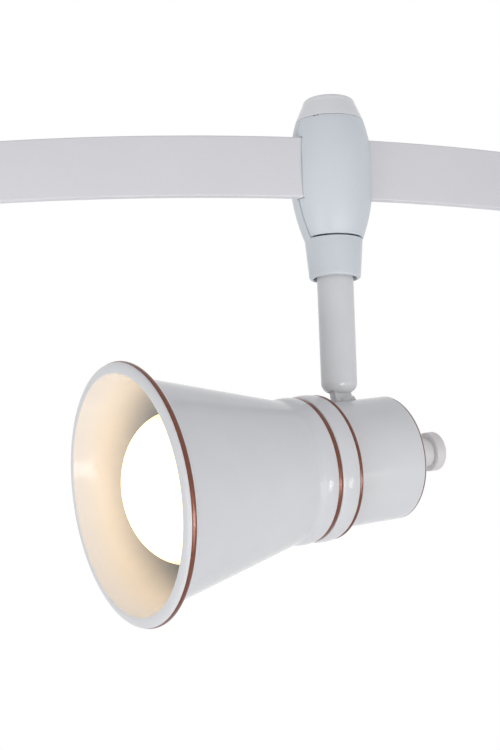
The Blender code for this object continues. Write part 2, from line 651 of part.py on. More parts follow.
def shade(lamp_axis, housing, paint, copper, steel):
    """The spun cone from its bead to its rolled lip, the copper ring behind the lip, and its screws."""
    bead_front = SHADE_BACK + BEAD_WIDTH
    cone_back = HOUSING_RADIUS + CONE_BACK_STEP
    slope = (CONE_FRONT_RADIUS - cone_back) / (CONE_END - bead_front)
    bead_center = (HOUSING_RADIUS + BEAD_STEP - BEAD_CROWN, SHADE_BACK + BEAD_WIDTH / 2)
    bead = oval(bead_center, BEAD_CROWN, BEAD_WIDTH / 2, -90, 65, 5)
    outer = [(RING_BORE, SHADE_BACK)] + bead + [(cone_back, bead_front), (CONE_FRONT_RADIUS, CONE_END)]

    trim_seat = RIM_RADIUS - RIM_TRIM_THICKNESS - FIT_GAP
    trim_back = RIM_AT - TRIM_WIDTH - FIT_GAP
    flare_center = (CONE_FRONT_RADIUS, trim_back)
    outer += oval(flare_center, trim_seat - CONE_FRONT_RADIUS, trim_back - CONE_END, -60, 0, 3)
    outer += [(trim_seat, RIM_AT)]
    crest = CONE_FRONT_RADIUS + LIP_CREST
    lip = oval((crest, RIM_AT), RIM_RADIUS - LIP_EDGE - crest, LIP_RISE, 0, 90, 4)

    inner_end = RIM_AT + LIP_RISE - LIP_DEPTH
    wall = SHADE_WALL * math.hypot(1, slope)
    inner_flare = cone_back + slope * (CONE_END - bead_front) - wall
    inner_front = inner_flare + slope * (inner_end - CONE_END) + MOUTH_FLARE
    lip += oval((crest, inner_end), crest - inner_front, LIP_DEPTH, 90, 180, 4)[1:]
    neck_front = HOUSING_FRONT + FIT_GAP
    inner_back = cone_back + slope * (neck_front + FIT_GAP - bead_front) - wall
    inner = [(inner_flare, CONE_END), (max(inner_back, RING_BORE), neck_front + FIT_GAP)]
    inner += [(RING_BORE, neck_front)]
    cone = placed(turned("shade", outer + lip + inner, paint), lamp_axis)

    trim_front = RIM_AT - FIT_GAP
    trim_bore = RIM_RADIUS - RIM_TRIM_THICKNESS
    rim_trim = ring("rim_trim_ring", trim_bore, RIM_RADIUS, trim_front - TRIM_WIDTH, trim_front, copper)
    placed(rim_trim, lamp_axis)

    seat = math.sqrt(HOUSING_BORE**2 - SHADE_SCREW_HEAD**2) - FIT_GAP
    height = SHADE_BACK + HOUSING_IN_SHADE / 2
    tip = RING_BORE + SHADE_SCREW_BITE - seat
    head = -SHADE_SCREW_HEAD_HEIGHT
    hole_radius = SHADE_SCREW_RADIUS + PIN_GAP
    outline = [(0, tip), (SHADE_SCREW_RADIUS, tip), (SHADE_SCREW_RADIUS, 0), (SHADE_SCREW_HEAD, 0)]
    outline += [(SHADE_SCREW_HEAD, head), (0, head)]
    for number, angle in enumerate(screw_seats(), start=1):
        place = (seat * math.cos(angle), seat * math.sin(angle), height)
        outwards = (0, math.radians(90), angle)
        placed(turned(f"shade_screw_{number}", outline, steel, SMALL_ROUND), lamp_axis, place, outwards)
        hole_end = tip + FIT_GAP
        hole = rod(f"shade_screw_hole_cutter_{number}", hole_radius, -SHADE_SCREW_HEAD, hole_end, None)
        placed(hole, lamp_axis, place, outwards)
        shaped(housing, hole)
        shaped(cone, hole)


def bulb_side(inset):
    """The lamp's outline from the middle of its face to the end of its neck, moved in by a wall."""
    widest = LAMP_FRONT - LAMP_DOME
    neck = LAMP_CAP_RADIUS - LAMP_CAP_WALL - FIT_GAP
    flare_start = LAMP_TIP_AT + LAMP_NECK_AT
    dome = oval((0, widest), LAMP_RADIUS - inset, LAMP_DOME - inset, 90, 0, 6)
    side = []
    for turn in spaced(1, 0, 5)[1:]:
        swell = math.sin(turn * math.pi / 2)
        radius = neck + (LAMP_RADIUS - neck) * swell - inset
        side.append((radius, flare_start + (widest - flare_start) * turn))
    neck_end = LAMP_TIP_AT + LAMP_TIP_HEIGHT + LAMP_CAP_HEIGHT - NECK_IN_CAP
    return [(0, widest + LAMP_DOME - inset)] + dome[1:] + side + [(neck - inset, neck_end)]


def lamp(lamp_axis, glass, nickel):
    placed(turned("lamp_glass", bulb_side(0.0) + bulb_side(LAMP_WALL)[::-1], glass), lamp_axis)
    bottom = LAMP_TIP_AT + LAMP_TIP_HEIGHT
    top = bottom + LAMP_CAP_HEIGHT
    taper = bottom + LAMP_CAP_TAPER
    foot = LAMP_CAP_RADIUS / 2
    bore = LAMP_CAP_RADIUS - LAMP_CAP_WALL
    outline = [(0, bottom), (foot, bottom), (LAMP_CAP_RADIUS, taper), (LAMP_CAP_RADIUS, top), (bore, top)]
    outline += [(bore, taper + LAMP_CAP_WALL), (foot, bottom + LAMP_CAP_WALL), (0, bottom + LAMP_CAP_WALL)]
    placed(turned("lamp_cap", outline, nickel, MID_ROUND), lamp_axis)
    placed(rod("lamp_tip", LAMP_TIP_RADIUS, LAMP_TIP_AT, bottom - FIT_GAP, nickel), lamp_axis)


def lampholder(lamp_axis, porcelain, brass, steel):
    """The socket on a bracket across the housing, with its screw shell and centre contact."""
    back = BRACKET_FRONT + FIT_GAP
    contact_top = LAMP_TIP_AT - FIT_GAP
    floor = contact_top - CONTACT_HEIGHT - FIT_GAP
    mouth = LAMP_TIP_AT + HOLDER_GRIP
    rivet_hole = RIVET_RADIUS + FIT_GAP
    rivet_end = back + RIVET_REACH
    outline = [(0, floor), (HOLDER_BORE, floor), (HOLDER_BORE, mouth), (HOLDER_RADIUS, mouth)]
    outline += [(HOLDER_RADIUS, back), (rivet_hole, back), (rivet_hole, rivet_end + FIT_GAP)]
    placed(turned("lampholder", outline + [(0, rivet_end + FIT_GAP)], porcelain, MID_ROUND), lamp_axis)
    seat = floor + FIT_GAP
    shell_end = mouth - FIT_GAP
    shell = ring(
        "holder_screw_shell", SCREW_SHELL_BORE, SCREW_SHELL_RADIUS, seat, shell_end, brass, MID_ROUND
    )
    placed(shell, lamp_axis)
    placed(rod("holder_contact", CONTACT_RADIUS, seat, contact_top, brass), lamp_axis)

    wall = HOUSING_BORE - FIT_GAP
    inner = wall - BRACKET_THICKNESS
    ear = BRACKET_BACK + BRACKET_EAR
    outline = [(-wall, ear), (-wall, BRACKET_BACK), (wall, BRACKET_BACK), (wall, ear)]
    outline += [(inner, ear), (inner, BRACKET_FRONT), (-inner, BRACKET_FRONT), (-inner, ear)]
    strap = plate("holder_bracket", outline, 0, -BRACKET_WIDTH / 2, BRACKET_WIDTH / 2, steel)
    placed(strap, lamp_axis)
    room = rod("bracket_room", wall, BRACKET_BACK - BRACKET_EAR, ear + BRACKET_EAR, None, ROUND)
    shaped(strap, placed(room, lamp_axis), "INTERSECT")
    hole = rod("rivet_hole_cutter", rivet_hole, BRACKET_BACK - BRACKET_EAR, ear, None)
    shaped(strap, placed(hole, lamp_axis))

    head_front = BRACKET_BACK - FIT_GAP
    head_back = head_front - RIVET_HEAD_HEIGHT
    outline = [(0, rivet_end), (RIVET_RADIUS, rivet_end), (RIVET_RADIUS, head_front)]
    outline += [(RIVET_HEAD, head_front), (RIVET_HEAD, head_back), (0, head_back)]
    placed(turned("holder_rivet", outline, steel, SMALL_ROUND), lamp_axis)
    return strap


def dome_height(radius, inset=0.0):
    """How far back the cover's dome lies at a radius."""
    sphere = (BACK_RADIUS**2 + BACK_DOME**2) / (2 * BACK_DOME)
    return BACK_APEX + inset + sphere - math.sqrt(sphere**2 - radius**2)


def back_cover(lamp_axis, strap, paint, steel):
    """A shallow dome with a spigot in the housing, and two sunk screws into the bracket."""
    spigot = HOUSING_BORE - 2 * FIT_GAP - FIT_GAP
    spigot_end = COVER_SEAT + SPIGOT_DEPTH
    spigot_bore = spigot - BACK_WALL
    hole = SWITCH_BUSH_RADIUS + FIT_GAP
    narrow = BACK_SCREW_RADIUS + PIN_GAP
    wide = BACK_SCREW_HEAD + FIT_GAP
    out = spigot_bore - wide - BACK_LAND_WALL
    head_back = dome_height(out + BACK_SCREW_HEAD) + BACK_SCREW_SINK
    seat = head_back + BACK_SCREW_HEAD_HEIGHT
    step = seat + FIT_GAP
    land = step + BACK_LAND_WALL
    land_edge = out - wide - BACK_LAND_WALL
    outer = [(radius, dome_height(radius)) for radius in spaced(hole, BACK_RADIUS, 6)]
    inner = [(radius, dome_height(radius, BACK_WALL)) for radius in spaced(land_edge, hole, 3)]
    outline = outer + [(spigot, COVER_SEAT), (spigot, spigot_end), (spigot_bore, spigot_end)]
    outline += [(spigot_bore, land), (land_edge, land)] + inner
    cover = placed(turned("back_cover", outline, paint), lamp_axis)

    end = BRACKET_FRONT
    shape = [(0, end), (BACK_SCREW_RADIUS, end), (BACK_SCREW_RADIUS, seat), (BACK_SCREW_HEAD, seat)]
    shape += [(BACK_SCREW_HEAD, head_back), (0, head_back)]
    below = BACK_APEX - BACK_DOME
    past = end + BRACKET_THICKNESS
    cut = [(0, past), (narrow, past), (narrow, step), (wide, step), (wide, below), (0, below)]
    for name, side in (("left", -1), ("right", 1)):
        place = (0, side * out, 0)
        cutter = turned(f"back_screw_cutter_{name}", cut, None, SMALL_ROUND)
        placed(cutter, lamp_axis, place)
        shaped(cover, cutter)
        shaped(strap, cutter)
        screw = placed(turned(f"back_screw_{name}", shape, steel, SMALL_ROUND), lamp_axis, place)
        slot = block(
            f"back_screw_slot_cutter_{name}",
            (-2 * BACK_SCREW_HEAD, -SCREW_SLOT / 2, below),
            (2 * BACK_SCREW_HEAD, SCREW_SLOT / 2, head_back + BACK_SCREW_HEAD_HEIGHT / 2),
            None,
        )
        shaped(screw, placed(slot, lamp_axis, place))


def switch(lamp_axis, insulation, plastic, steel):
    """The switch on the inside of the back cover, its sleeve outside, and the knob on its spindle."""
    bore = SPINDLE_RADIUS + FIT_GAP
    face = dome_height(SWITCH_RADIUS, BACK_WALL) + FIT_GAP
    front = face + SWITCH_DEPTH
    bush_end = COLLAR_SLEEVE_END + FIT_GAP
    socket = face + SWITCH_DEPTH / 2
    outline = [(0, front), (SWITCH_RADIUS, front), (SWITCH_RADIUS, face), (SWITCH_BUSH_RADIUS, face)]
    outline += [(SWITCH_BUSH_RADIUS, bush_end), (bore, bush_end), (bore, socket), (0, socket)]
    placed(turned("switch_body", outline, insulation, MID_ROUND), lamp_axis)
    sleeve_bore = SWITCH_BUSH_RADIUS + FIT_GAP
    sleeve = ring(
        "switch_sleeve",
        sleeve_bore,
        COLLAR_SLEEVE_RADIUS,
        COLLAR_SLEEVE_END,
        COLLAR_SLEEVE_AT,
        plastic,
        MID_ROUND,
    )
    placed(sleeve, lamp_axis)

    spindle_end = KNOB_END + KNOB_END_WALL
    placed(rod("knob_spindle", SPINDLE_RADIUS, spindle_end, socket - FIT_GAP, steel), lamp_axis)
    rear_center = (KNOB_RADIUS - KNOB_EDGE, KNOB_END + KNOB_EDGE)
    front_center = (KNOB_RADIUS - KNOB_FRONT_EDGE, KNOB_FRONT - KNOB_FRONT_EDGE)
    pocket = spindle_end - FIT_GAP
    outline = [(0, pocket), (bore, pocket), (bore, KNOB_FRONT)]
    outline += oval(front_center, KNOB_FRONT_EDGE, KNOB_FRONT_EDGE, 90, 0, 2)
    outline += oval(rear_center, KNOB_EDGE, KNOB_EDGE, 0, -90, 4) + [(0, KNOB_END)]
    placed(turned("switch_knob", outline, plastic, MID_ROUND), lamp_axis)


def main():
    clear_scene()
    white_metal = finish("white enamelled metal", (0.80, 0.80, 0.82), 0.25)
    white_plastic = finish("cool white moulded plastic", (0.76, 0.80, 0.82), 0.35)
    rail_plastic = finish("white extruded plastic", (0.80, 0.79, 0.81), 0.35)
    knob_plastic = finish("warm white moulded plastic", (0.82, 0.81, 0.79), 0.30)
    copper_paint = finish("copper enamel", (0.36, 0.13, 0.07), 0.35)
    copper = finish("copper", (0.72, 0.38, 0.25), 0.30, 1.0)
    brass = finish("brass", (0.73, 0.57, 0.27), 0.30, 1.0)
    nickel = finish("nickel plate", (0.66, 0.64, 0.60), 0.30, 1.0)
    steel = finish("zinc-plated steel", (0.62, 0.63, 0.64), 0.35, 1.0)
    insulation = finish("black thermoset", (0.03, 0.03, 0.03), 0.50)
    porcelain = finish("glazed porcelain", (0.85, 0.84, 0.80), 0.20)
    glass = finish("frosted glass", (0.95, 0.93, 0.86), 0.50)

    travel_axis = empty("travel_axis", location=(0, RAIL_RADIUS, 0))
    adapter = empty("adapter", travel_axis, (0, STEM_BEHIND_RAIL - RAIL_RADIUS, 0))
    cover_slide = empty("cover_slide", adapter)
    pan_axis = empty("pan_axis", adapter)
    pan_frame = empty("pan_frame", pan_axis, (0, 0, PIVOT_HEIGHT), (0, 0, math.pi + HEAD_PAN))
    tilt_axis = empty("tilt_axis", pan_frame, rotation=(0, HEAD_TILT, 0))
    lamp_axis = empty("lamp_axis", tilt_axis, (0, 0, -AXIS_DROP), (0, math.radians(90), 0))

    make_rail(travel_axis, rail_plastic, copper)
    adapter_body(adapter, travel_axis, white_plastic)
    top_cap(adapter, white_metal)
    cap_screw(adapter, steel)
    contacts(adapter, insulation, copper)
    front_cover(cover_slide, travel_axis, white_plastic)
    stem(pan_axis, pan_frame, white_metal, steel)
    tongue(tilt_axis, white_metal, steel)
    housing = housing_and_rings(lamp_axis, tilt_axis, white_metal, copper_paint)
    shade(lamp_axis, housing, white_metal, copper_paint, steel)
    lamp(lamp_axis, glass, nickel)
    strap = lampholder(lamp_axis, porcelain, brass, steel)
    back_cover(lamp_axis, strap, white_metal, steel)
    switch(lamp_axis, insulation, knob_plastic, steel)
    bpy.context.view_layer.update()


main()
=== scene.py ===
"""Looks of the track spotlight: each piece of the lamp made again with its real edges and finish.

Sizes are in millimetres, and meshes in metres. An outline is a list of (radius, height) points from
the piece's own axis, and a third number in a point rounds that corner.
"""

import math

import bmesh
import bpy
from mathutils import Matrix, Vector


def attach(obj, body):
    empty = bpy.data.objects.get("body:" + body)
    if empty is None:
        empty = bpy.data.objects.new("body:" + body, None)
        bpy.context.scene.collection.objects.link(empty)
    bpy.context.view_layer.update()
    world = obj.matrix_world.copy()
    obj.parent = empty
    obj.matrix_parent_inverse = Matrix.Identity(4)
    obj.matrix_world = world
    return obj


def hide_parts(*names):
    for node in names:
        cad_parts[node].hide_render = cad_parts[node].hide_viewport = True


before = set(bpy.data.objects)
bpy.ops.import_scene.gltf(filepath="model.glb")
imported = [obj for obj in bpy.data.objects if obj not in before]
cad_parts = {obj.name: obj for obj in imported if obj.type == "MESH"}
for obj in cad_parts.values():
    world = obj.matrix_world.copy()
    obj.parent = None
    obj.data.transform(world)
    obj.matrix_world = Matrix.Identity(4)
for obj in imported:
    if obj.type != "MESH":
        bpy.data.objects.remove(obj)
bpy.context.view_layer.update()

MM = 0.001
LOOK = "_look"
SHARP = math.radians(25)  # a fold sharper than this is a real corner
ROUND_STEP = math.radians(15)  # one facet of a rounded corner
GAP = 0.3  # between pieces that seat on each other
BROKEN_EDGE = 0.2
SLOT_HALF = 0.35  # of a screwdriver slot's width

# Rail, with the origin in the middle of its section
RAIL_HEIGHT = 26.5
RAIL_THICKNESS = 4.0
RAIL_EDGE = 0.8
RAIL_RADIUS = 413.0
RAIL_LEFT = math.radians(-20.5)
RAIL_RIGHT = math.radians(11.5)
RAIL_STEPS = 96
RAIL_CLEARANCE = 0.4
GROOVES = {"lower": -RAIL_HEIGHT / 4, "upper": RAIL_HEIGHT / 4}
GROOVE_DEPTH = 2.2
GROOVE_HEIGHT = 3.4
CONDUCTOR_HEIGHT = 2.8
CONDUCTOR_THICKNESS = 1.0

# Adapter, from the stem's axis, which lies behind the rail
STEM_BEHIND_RAIL = 6.1
ADAPTER_ABOVE_RAIL = 2.05
BARREL_RADIUS = 18.05
BARREL_CURVE = 82.0
BARREL_MIDDLE = -2.35
SHELL_WALL = 2.0
SHELL_TOP = 20.0
CAP_SEAM = 20.25
CAP_TOP = 30.5
CAP_CORNER = 2.2
CAP_TAPER = 0.08
CAP_SCREW_HOLE = 1.7
CAP_SCREW_SEAT = 27.8
CAP_SCREW_RECESS = 3.2
CAP_BOSS = 5.2
COVER_SEAM = RAIL_THICKNESS / 2 - STEM_BEHIND_RAIL
COVER_BOTTOM = -31.5
COVER_CORNER = 0.45
COVER_REBATE = 1.0
COVER_REBATE_WALL = 0.7
COVER_STAND_OFF = 0.9
COVER_RAIL_EDGE = 15.4
COVER_TAB_HALF = 4.0
COVER_TAB_ROOT = 4.0
COVER_TAB_REACH = 6.0
COVER_NICKS = ((-43, 0.5), (-37, 0.4))  # each one's turn in degrees and half its width
COVER_NICK_DEPTH = 0.35
COVER_NICK_INNER = 13.9
CUP_TOP = -32.2
CUP_BOTTOM = -48.9
CUP_RADIUS = 11.1
CUP_LIP = 1.1
CUP_BORE = 9.4
CUP_FLOOR_TOP = -37.1
CUP_FLOOR_BOTTOM = -40.1
BUSH_HOLE = 5.1
CARRIER_HALF = 8.0
CARRIER_MARGIN = 2.2
BLADE_HALF = 5.0
BLADE_BOW = 2.2
BLADE_THICKNESS = 0.6
BLADE_HEIGHT = 2.0

# Stem and tilt joint
STEM_RADIUS = 7.9
STEM_BORE = 6.3
STEM_BORE_END = -80.8
STEM_TOP = -40.4
STEM_BOTTOM = -98.4
STEM_ROUNDING = 4.5
STEM_TAPER = 0.2
PIVOT = -89.2
PIN_RADIUS = 1.6
PIN_HOLE = 1.8
PIN_BLIND_END = -6.7
SLOT_GAP = 0.4
SLOT_FRONT = 5.3
TONGUE_THICKNESS = 4.5
TONGUE_EYE = 4.0
TONGUE_FOOT = -12.8
TONGUE_FRONT = 4.9
SHANK_RADIUS = 3.4
SHANK_HOLE = 3.7
SHANK_END = -20.5
NUT_ACROSS = 11.0
AXIS_DROP = 39.0
HEAD_PAN = math.radians(15.55)
HEAD_TILT = math.radians(7.75)

# Lamp head, along the lamp's axis from the tongue towards the mouth
HOUSING_RADIUS = 26.4
HOUSING_BORE = 24.9
HOUSING_BACK = -18.4
RING_BORE = 26.7
SHADE_BACK = 27.3
SHADE_SCREW_HOLE = 1.2
SHADE_SCREW_HEAD = 2.2
SHADE_SCREW_CLEAR = -2.2  # where its hole starts, clear of the head
SHADE_SCREW_REACH = 2.6
SHADE_SCREW_SEAT = math.sqrt(HOUSING_BORE**2 - SHADE_SCREW_HEAD**2) - GAP
SHADE_SCREWS = {f"shade_screw_{i}": math.tau * (i - 0.5) / 3 for i in (1, 2, 3)}
BEAD_MIDDLE = (29.8, 31.0)
BEAD_HALF = 3.8
BEAD_CROWN = 0.8
BEAD_FRONT = 34.7
CONE_BACK = 29.55
CONE_FRONT = 46.1
CONE_END = 101.0
CONE_SLOPE = (CONE_FRONT - CONE_BACK) / (CONE_END - BEAD_FRONT)
SHADE_WALL = 1.5 * math.hypot(1, CONE_SLOPE)
RIM_AT = 106.5
RIM_RADIUS = 52.2
RIM_STEP = 1.3
RIM_CROWN = 0.7
RIM_SEAT = RIM_RADIUS - RIM_STEP - GAP
RIM_TURN_OUT = 2.82
LIP_EDGE = 0.5
LIP_INSET = 0.4
LIP_RISE = 1.2
LIP_CREST = 2.1
THROAT = 0.8
MOUTH_FLARE = 98.0
# depth along the lamp's axis where the painted shade inside the shade is fullest
PAINTED_SHADE_DEEPEST = 82.0
LAMP_FRONT = 104.2
LAMP_RADIUS = 30.8
LAMP_WIDEST = 82.2
LAMP_FLARE = 34.2
LAMP_NECK = 12.3
LAMP_NECK_END = 24.2
LAMP_WALL = 1.0
LAMP_CAP_RADIUS = 13.2
LAMP_THREAD = (17.5, 31.5, 3.6, 0.45)  # low, high, pitch and depth
LAMP_GLOW = 2.95
BRACKET_RADIUS = 24.6
BRACKET_WALL = 1.5
DOME_SEAT = -19.3
DOME_APEX = -26.8
DOME_EDGE = HOUSING_RADIUS - 0.4
DOME_WALL = 1.5
DOME_HOLE = 4.3
BACK_SCREW_OUT = 18.4
BACK_SCREW_HOLE = [(0, -12), (1.6, -12), (1.6, -19.95), (2.9, -19.95), (2.9, -34), (0, -34)]

# Frames that the pieces are made in
RAIL = Matrix.Translation((0, RAIL_RADIUS * MM, 0))
CONTACTS = Matrix.Translation((0, STEM_BEHIND_RAIL * MM, 0))
ADAPTER = CONTACTS @ Matrix.Translation((0, 0, ADAPTER_ABOVE_RAIL * MM))
ABOUT_STEM = Matrix.Rotation(math.pi + HEAD_PAN, 4, "Z")
PAN = ADAPTER @ Matrix.Translation((0, 0, PIVOT * MM)) @ ABOUT_STEM
TILT = PAN @ Matrix.Rotation(HEAD_TILT, 4, "Y")
FORWARD = Matrix.Rotation(math.pi / 2, 4, "Y")
LAMP = TILT @ Matrix.Translation((0, 0, -AXIS_DROP * MM)) @ FORWARD
ACROSS = Matrix.Rotation(math.pi / 2, 4, "X")


# Outlines

def spaced(first, last, steps):
    return [first + (last - first) * i / steps for i in range(steps + 1)]


def oval(middle, across, along, start, end, steps=16):
    """Points on an ellipse round a (radius, height) middle, between two angles in degrees."""
    turns = [math.radians(angle) for angle in spaced(start, end, steps)]
    return [(middle[0] + across * math.cos(t), middle[1] + along * math.sin(t)) for t in turns]


def eased(start, start_pull, end_pull, end):
    """A smooth curve between two points, drawn towards a pull point at each end."""
    points = (start, start_pull, end_pull, end)
    curve = []
    for t in spaced(0, 1, 10):
        shares = ((1 - t) ** 3, 3 * t * (1 - t) ** 2, 3 * t**2 * (1 - t), t**3)
        curve.append(tuple(sum(k * point[i] for k, point in zip(shares, points)) for i in (0, 1)))
    return curve


def rod(radius, start, end, edge=0.0):
    """A plain round bar between two heights, also the cutter for a round hole."""
    return [(0, start), (radius, start, edge), (radius, end, edge), (0, end)]


def hoop(bore, radius, start, end, inner_edge=0.0, outer_edge=0.0):
    """A flat ring between two heights."""
    outer = [(radius, start, outer_edge), (radius, end, outer_edge)]
    return [(bore, start, inner_edge), *outer, (bore, end, inner_edge)]


def crowned(bore, middle, across, along, steps=12, start=90):
    """A ring whose outside is half an ellipse round a (radius, height) middle."""
    side = oval(middle, across, along, start, -90, steps)
    return [(bore, middle[1] + along), *side, (bore, middle[1] - along)]


def headed(top, seat, head, shank, end, crown=0.3):
    """A screw or rivet with a round head, whose shank has a chamfered end."""
    upper = [(0, top), (head, top, crown), (head, seat, 0.1)]
    return [*upper, (shank, seat), (shank, end, 0.3), (0, end)]


def barrel_radius(height, inset=0.0):
    """The adapter's bulging side at a height."""
    bulge = math.sqrt(BARREL_CURVE**2 - (height - BARREL_MIDDLE) ** 2)
    return BARREL_RADIUS - inset - BARREL_CURVE + bulge


def barrel(top, bottom, inset=0.0, steps=24):
    return [(barrel_radius(height, inset), height) for height in spaced(top, bottom, steps)]


def cone_radius(along):
    """The outside of the shade's cone at a place on the lamp's axis."""
    return CONE_BACK + CONE_SLOPE * (along - BEAD_FRONT)


def dome(radius, inset=0.0):
    """Height of the back cover's dome at a radius."""
    rise = DOME_SEAT - DOME_APEX
    sphere = (DOME_EDGE**2 + rise**2) / (2 * rise)
    return DOME_APEX + inset + sphere - math.sqrt(sphere**2 - radius**2)


def softened(outline, closed):
    """Gives each corner its rounding, with a point on either side that keeps the flats flat."""
    most_of_flat = 0.45
    hold, hold_share = 0.3, 0.2
    points = []
    for i, corner in enumerate(outline):
        here = Vector(corner[:2])
        rounding = corner[2] if len(corner) > 2 else 0.0
        if not rounding or (not closed and i in (0, len(outline) - 1)):
            points.append(tuple(here))
            continue
        back = Vector(outline[i - 1][:2]) - here
        ahead = Vector(outline[(i + 1) % len(outline)][:2]) - here
        half = back.angle(ahead) / 2
        shorter = min(most_of_flat * back.length, most_of_flat * ahead.length)
        reach = min(rounding / math.tan(half), shorter)
        inward = (back.normalized() + ahead.normalized()).normalized()
        middle = here + inward * reach / math.cos(half)
        first = here + back.normalized() * reach - middle
        last = here + ahead.normalized() * reach - middle
        sweep = first.angle_signed(last)
        steps = max(2, round(abs(sweep) / ROUND_STEP))
        arc = [middle + Matrix.Rotation(-sweep * k / steps, 2) @ first for k in range(steps + 1)]
        before = reach + min(hold, hold_share * back.length)
        after = reach + min(hold, hold_share * ahead.length)
        points.append(tuple(here + back.normalized() * before))
        points += [tuple(point) for point in arc]
        points.append(tuple(here + ahead.normalized() * after))
    return points


# Meshes

def smooth(obj):
    obj.data.shade_smooth()
    obj.data.set_sharp_from_angle(angle=SHARP)


def piece(name, mesh_in_progress, place):
    """An object from a bmesh in a frame, its round sides smooth and its real corners sharp."""
    bmesh.ops.recalc_face_normals(mesh_in_progress, faces=mesh_in_progress.faces[:])
    mesh = bpy.data.meshes.new(name)
    mesh_in_progress.to_mesh(mesh)
    mesh_in_progress.free()
    obj = bpy.data.objects.new(name + LOOK, mesh)
    bpy.context.scene.collection.objects.link(obj)
    obj.matrix_world = place
    smooth(obj)
    return obj


def turned(name, outline, place, segments=144, thread=None):
    """A piece turned from its outline. A thread is cut as a true helix."""
    closed = not (outline[0][0] == 0 and outline[-1][0] == 0)
    bm = bmesh.new()
    rings = []
    for radius, height in softened(outline, closed):
        if radius < 1e-6:
            rings.append([bm.verts.new((0, 0, height * MM))])
            continue
        loop = []
        for step in range(segments):
            turn = math.tau * step / segments
            at = radius
            if thread:
                low, high, pitch, depth = thread
                if low <= height <= high:
                    at -= depth * (0.5 - 0.5 * math.cos(math.tau * height / pitch - turn))
            spot = (at * math.cos(turn) * MM, at * math.sin(turn) * MM, height * MM)
            loop.append(bm.verts.new(spot))
        rings.append(loop)
    pairs = list(zip(rings, rings[1:]))
    if closed:
        pairs.append((rings[-1], rings[0]))
    for lower, upper in pairs:
        for step in range(segments):
            after = (step + 1) % segments
            corners = [lower[step % len(lower)], lower[after % len(lower)]]
            corners += [upper[after % len(upper)], upper[step % len(upper)]]
            corners = list(dict.fromkeys(corners))
            if len(corners) > 2:
                bm.faces.new(corners)
    return piece(name, bm, place)


def skinned(bm, layers):
    """Joins layers of one outline into a closed skin with flat ends."""
    count = len(layers[0])
    for under, over in zip(layers, layers[1:]):
        for i in range(count):
            after = (i + 1) % count
            bm.faces.new((under[i], under[after], over[after], over[i]))
    bm.faces.new(layers[0][::-1])
    bm.faces.new(layers[-1])
    return bm


def plate(name, outline, axis, low, high, place):
    """A flat outline pushed out along one axis."""
    bm = bmesh.new()
    layers = []
    for level in (low, high):
        layer = []
        for first, second in outline:
            corner = [first * MM, second * MM]
            corner.insert(axis, level * MM)
            layer.append(bm.verts.new(corner))
        layers.append(layer)
    return piece(name, skinned(bm, layers), place)


def block(name, low, high, place):
    corners = [(low[0], low[1]), (high[0], low[1]), (high[0], high[1]), (low[0], high[1])]
    return plate(name, corners, 2, low[2], high[2], place)


def bent(name, section, start, end, steps):
    """A section of (offset, height) points swept along the rail's curve."""
    bm = bmesh.new()
    layers = []
    for turn in spaced(start, end, steps):
        layer = []
        for offset, height in section:
            out = (RAIL_RADIUS + offset) * MM
            spot = (out * math.sin(turn), -out * math.cos(turn), height * MM)
            layer.append(bm.verts.new(spot))
        layers.append(layer)
    return piece(name, skinned(bm, layers), RAIL)


def settled(obj):
    """Makes what the modifiers show the piece's own mesh."""
    bpy.context.view_layer.update()
    graph = bpy.context.evaluated_depsgraph_get()
    mesh = bpy.data.meshes.new_from_object(obj.evaluated_get(graph))
    obj.modifiers.clear()
    obj.data = mesh
    smooth(obj)
    return obj


def broken_edges(obj, width=BROKEN_EDGE):
    """A small bevel along every real corner, as a mould or a deburring tool leaves."""
    step = obj.modifiers.new("edge", "BEVEL")
    step.width = width * MM
    step.segments = 2
    step.limit_method = "ANGLE"
    step.angle_limit = SHARP
    return settled(obj)


def carved(obj, tool, operation="DIFFERENCE"):
    """Cuts a piece with a tool, joins them or keeps what they share, and takes the tool away."""
    step = obj.modifiers.new(tool.name, "BOOLEAN")
    step.operation = operation
    step.solver = "EXACT"
    step.object = tool
    settled(obj)
    bpy.data.objects.remove(tool, do_unlink=True)


# Materials

SHARE, FIRST, SECOND, MIXED = 0, 6, 7, 2  # a Mix node's sockets when it mixes colours
# nearly all of a noise lies between these
NOISE_SPREAD = {"From Min": 0.3, "From Max": 0.7}


def linear(color):
    """A linear colour from an sRGB hex value."""
    channels = [int(color[i:i + 2], 16) / 255 for i in (1, 3, 5)]
    curve = [c / 12.92 if c <= 0.04045 else ((c + 0.055) / 1.055) ** 2.4 for c in channels]
    return (*curve, 1.0)


def per_mm(size):
    """The texture scale that gives features of a size in mm."""
    return 1.0 / (size * MM)


def add(tree, kind, feeds=None, **options):
    """One node. Feeds give a socket its value, or the (node, output) that drives it."""
    node = tree.nodes.new(kind)
    for option, value in options.items():
        setattr(node, option, value)
    for socket, source in (feeds or {}).items():
        if isinstance(source, tuple) and isinstance(source[0], bpy.types.Node):
            tree.links.new(source[0].outputs[source[1]], node.inputs[socket])
        else:
            node.inputs[socket].default_value = source
    return node


def surface(name):
    """A new material, its empty node tree and the coordinates of the piece that wears it."""
    material = bpy.data.materials.new(name)
    material.use_nodes = True
    tree = material.node_tree
    tree.nodes.clear()
    return material, tree, (add(tree, "ShaderNodeTexCoord"), "Object")


def along_lamp(tree, here):
    """A point's place in the lamp's own frame, with Z along the lamp's axis."""
    place = add(tree, "ShaderNodeMapping", {
        "Vector": here, "Location": LAMP.to_translation(), "Rotation": LAMP.to_euler(),
    }, vector_type="TEXTURE")
    return add(tree, "ShaderNodeSeparateXYZ", {"Vector": (place, "Vector")})


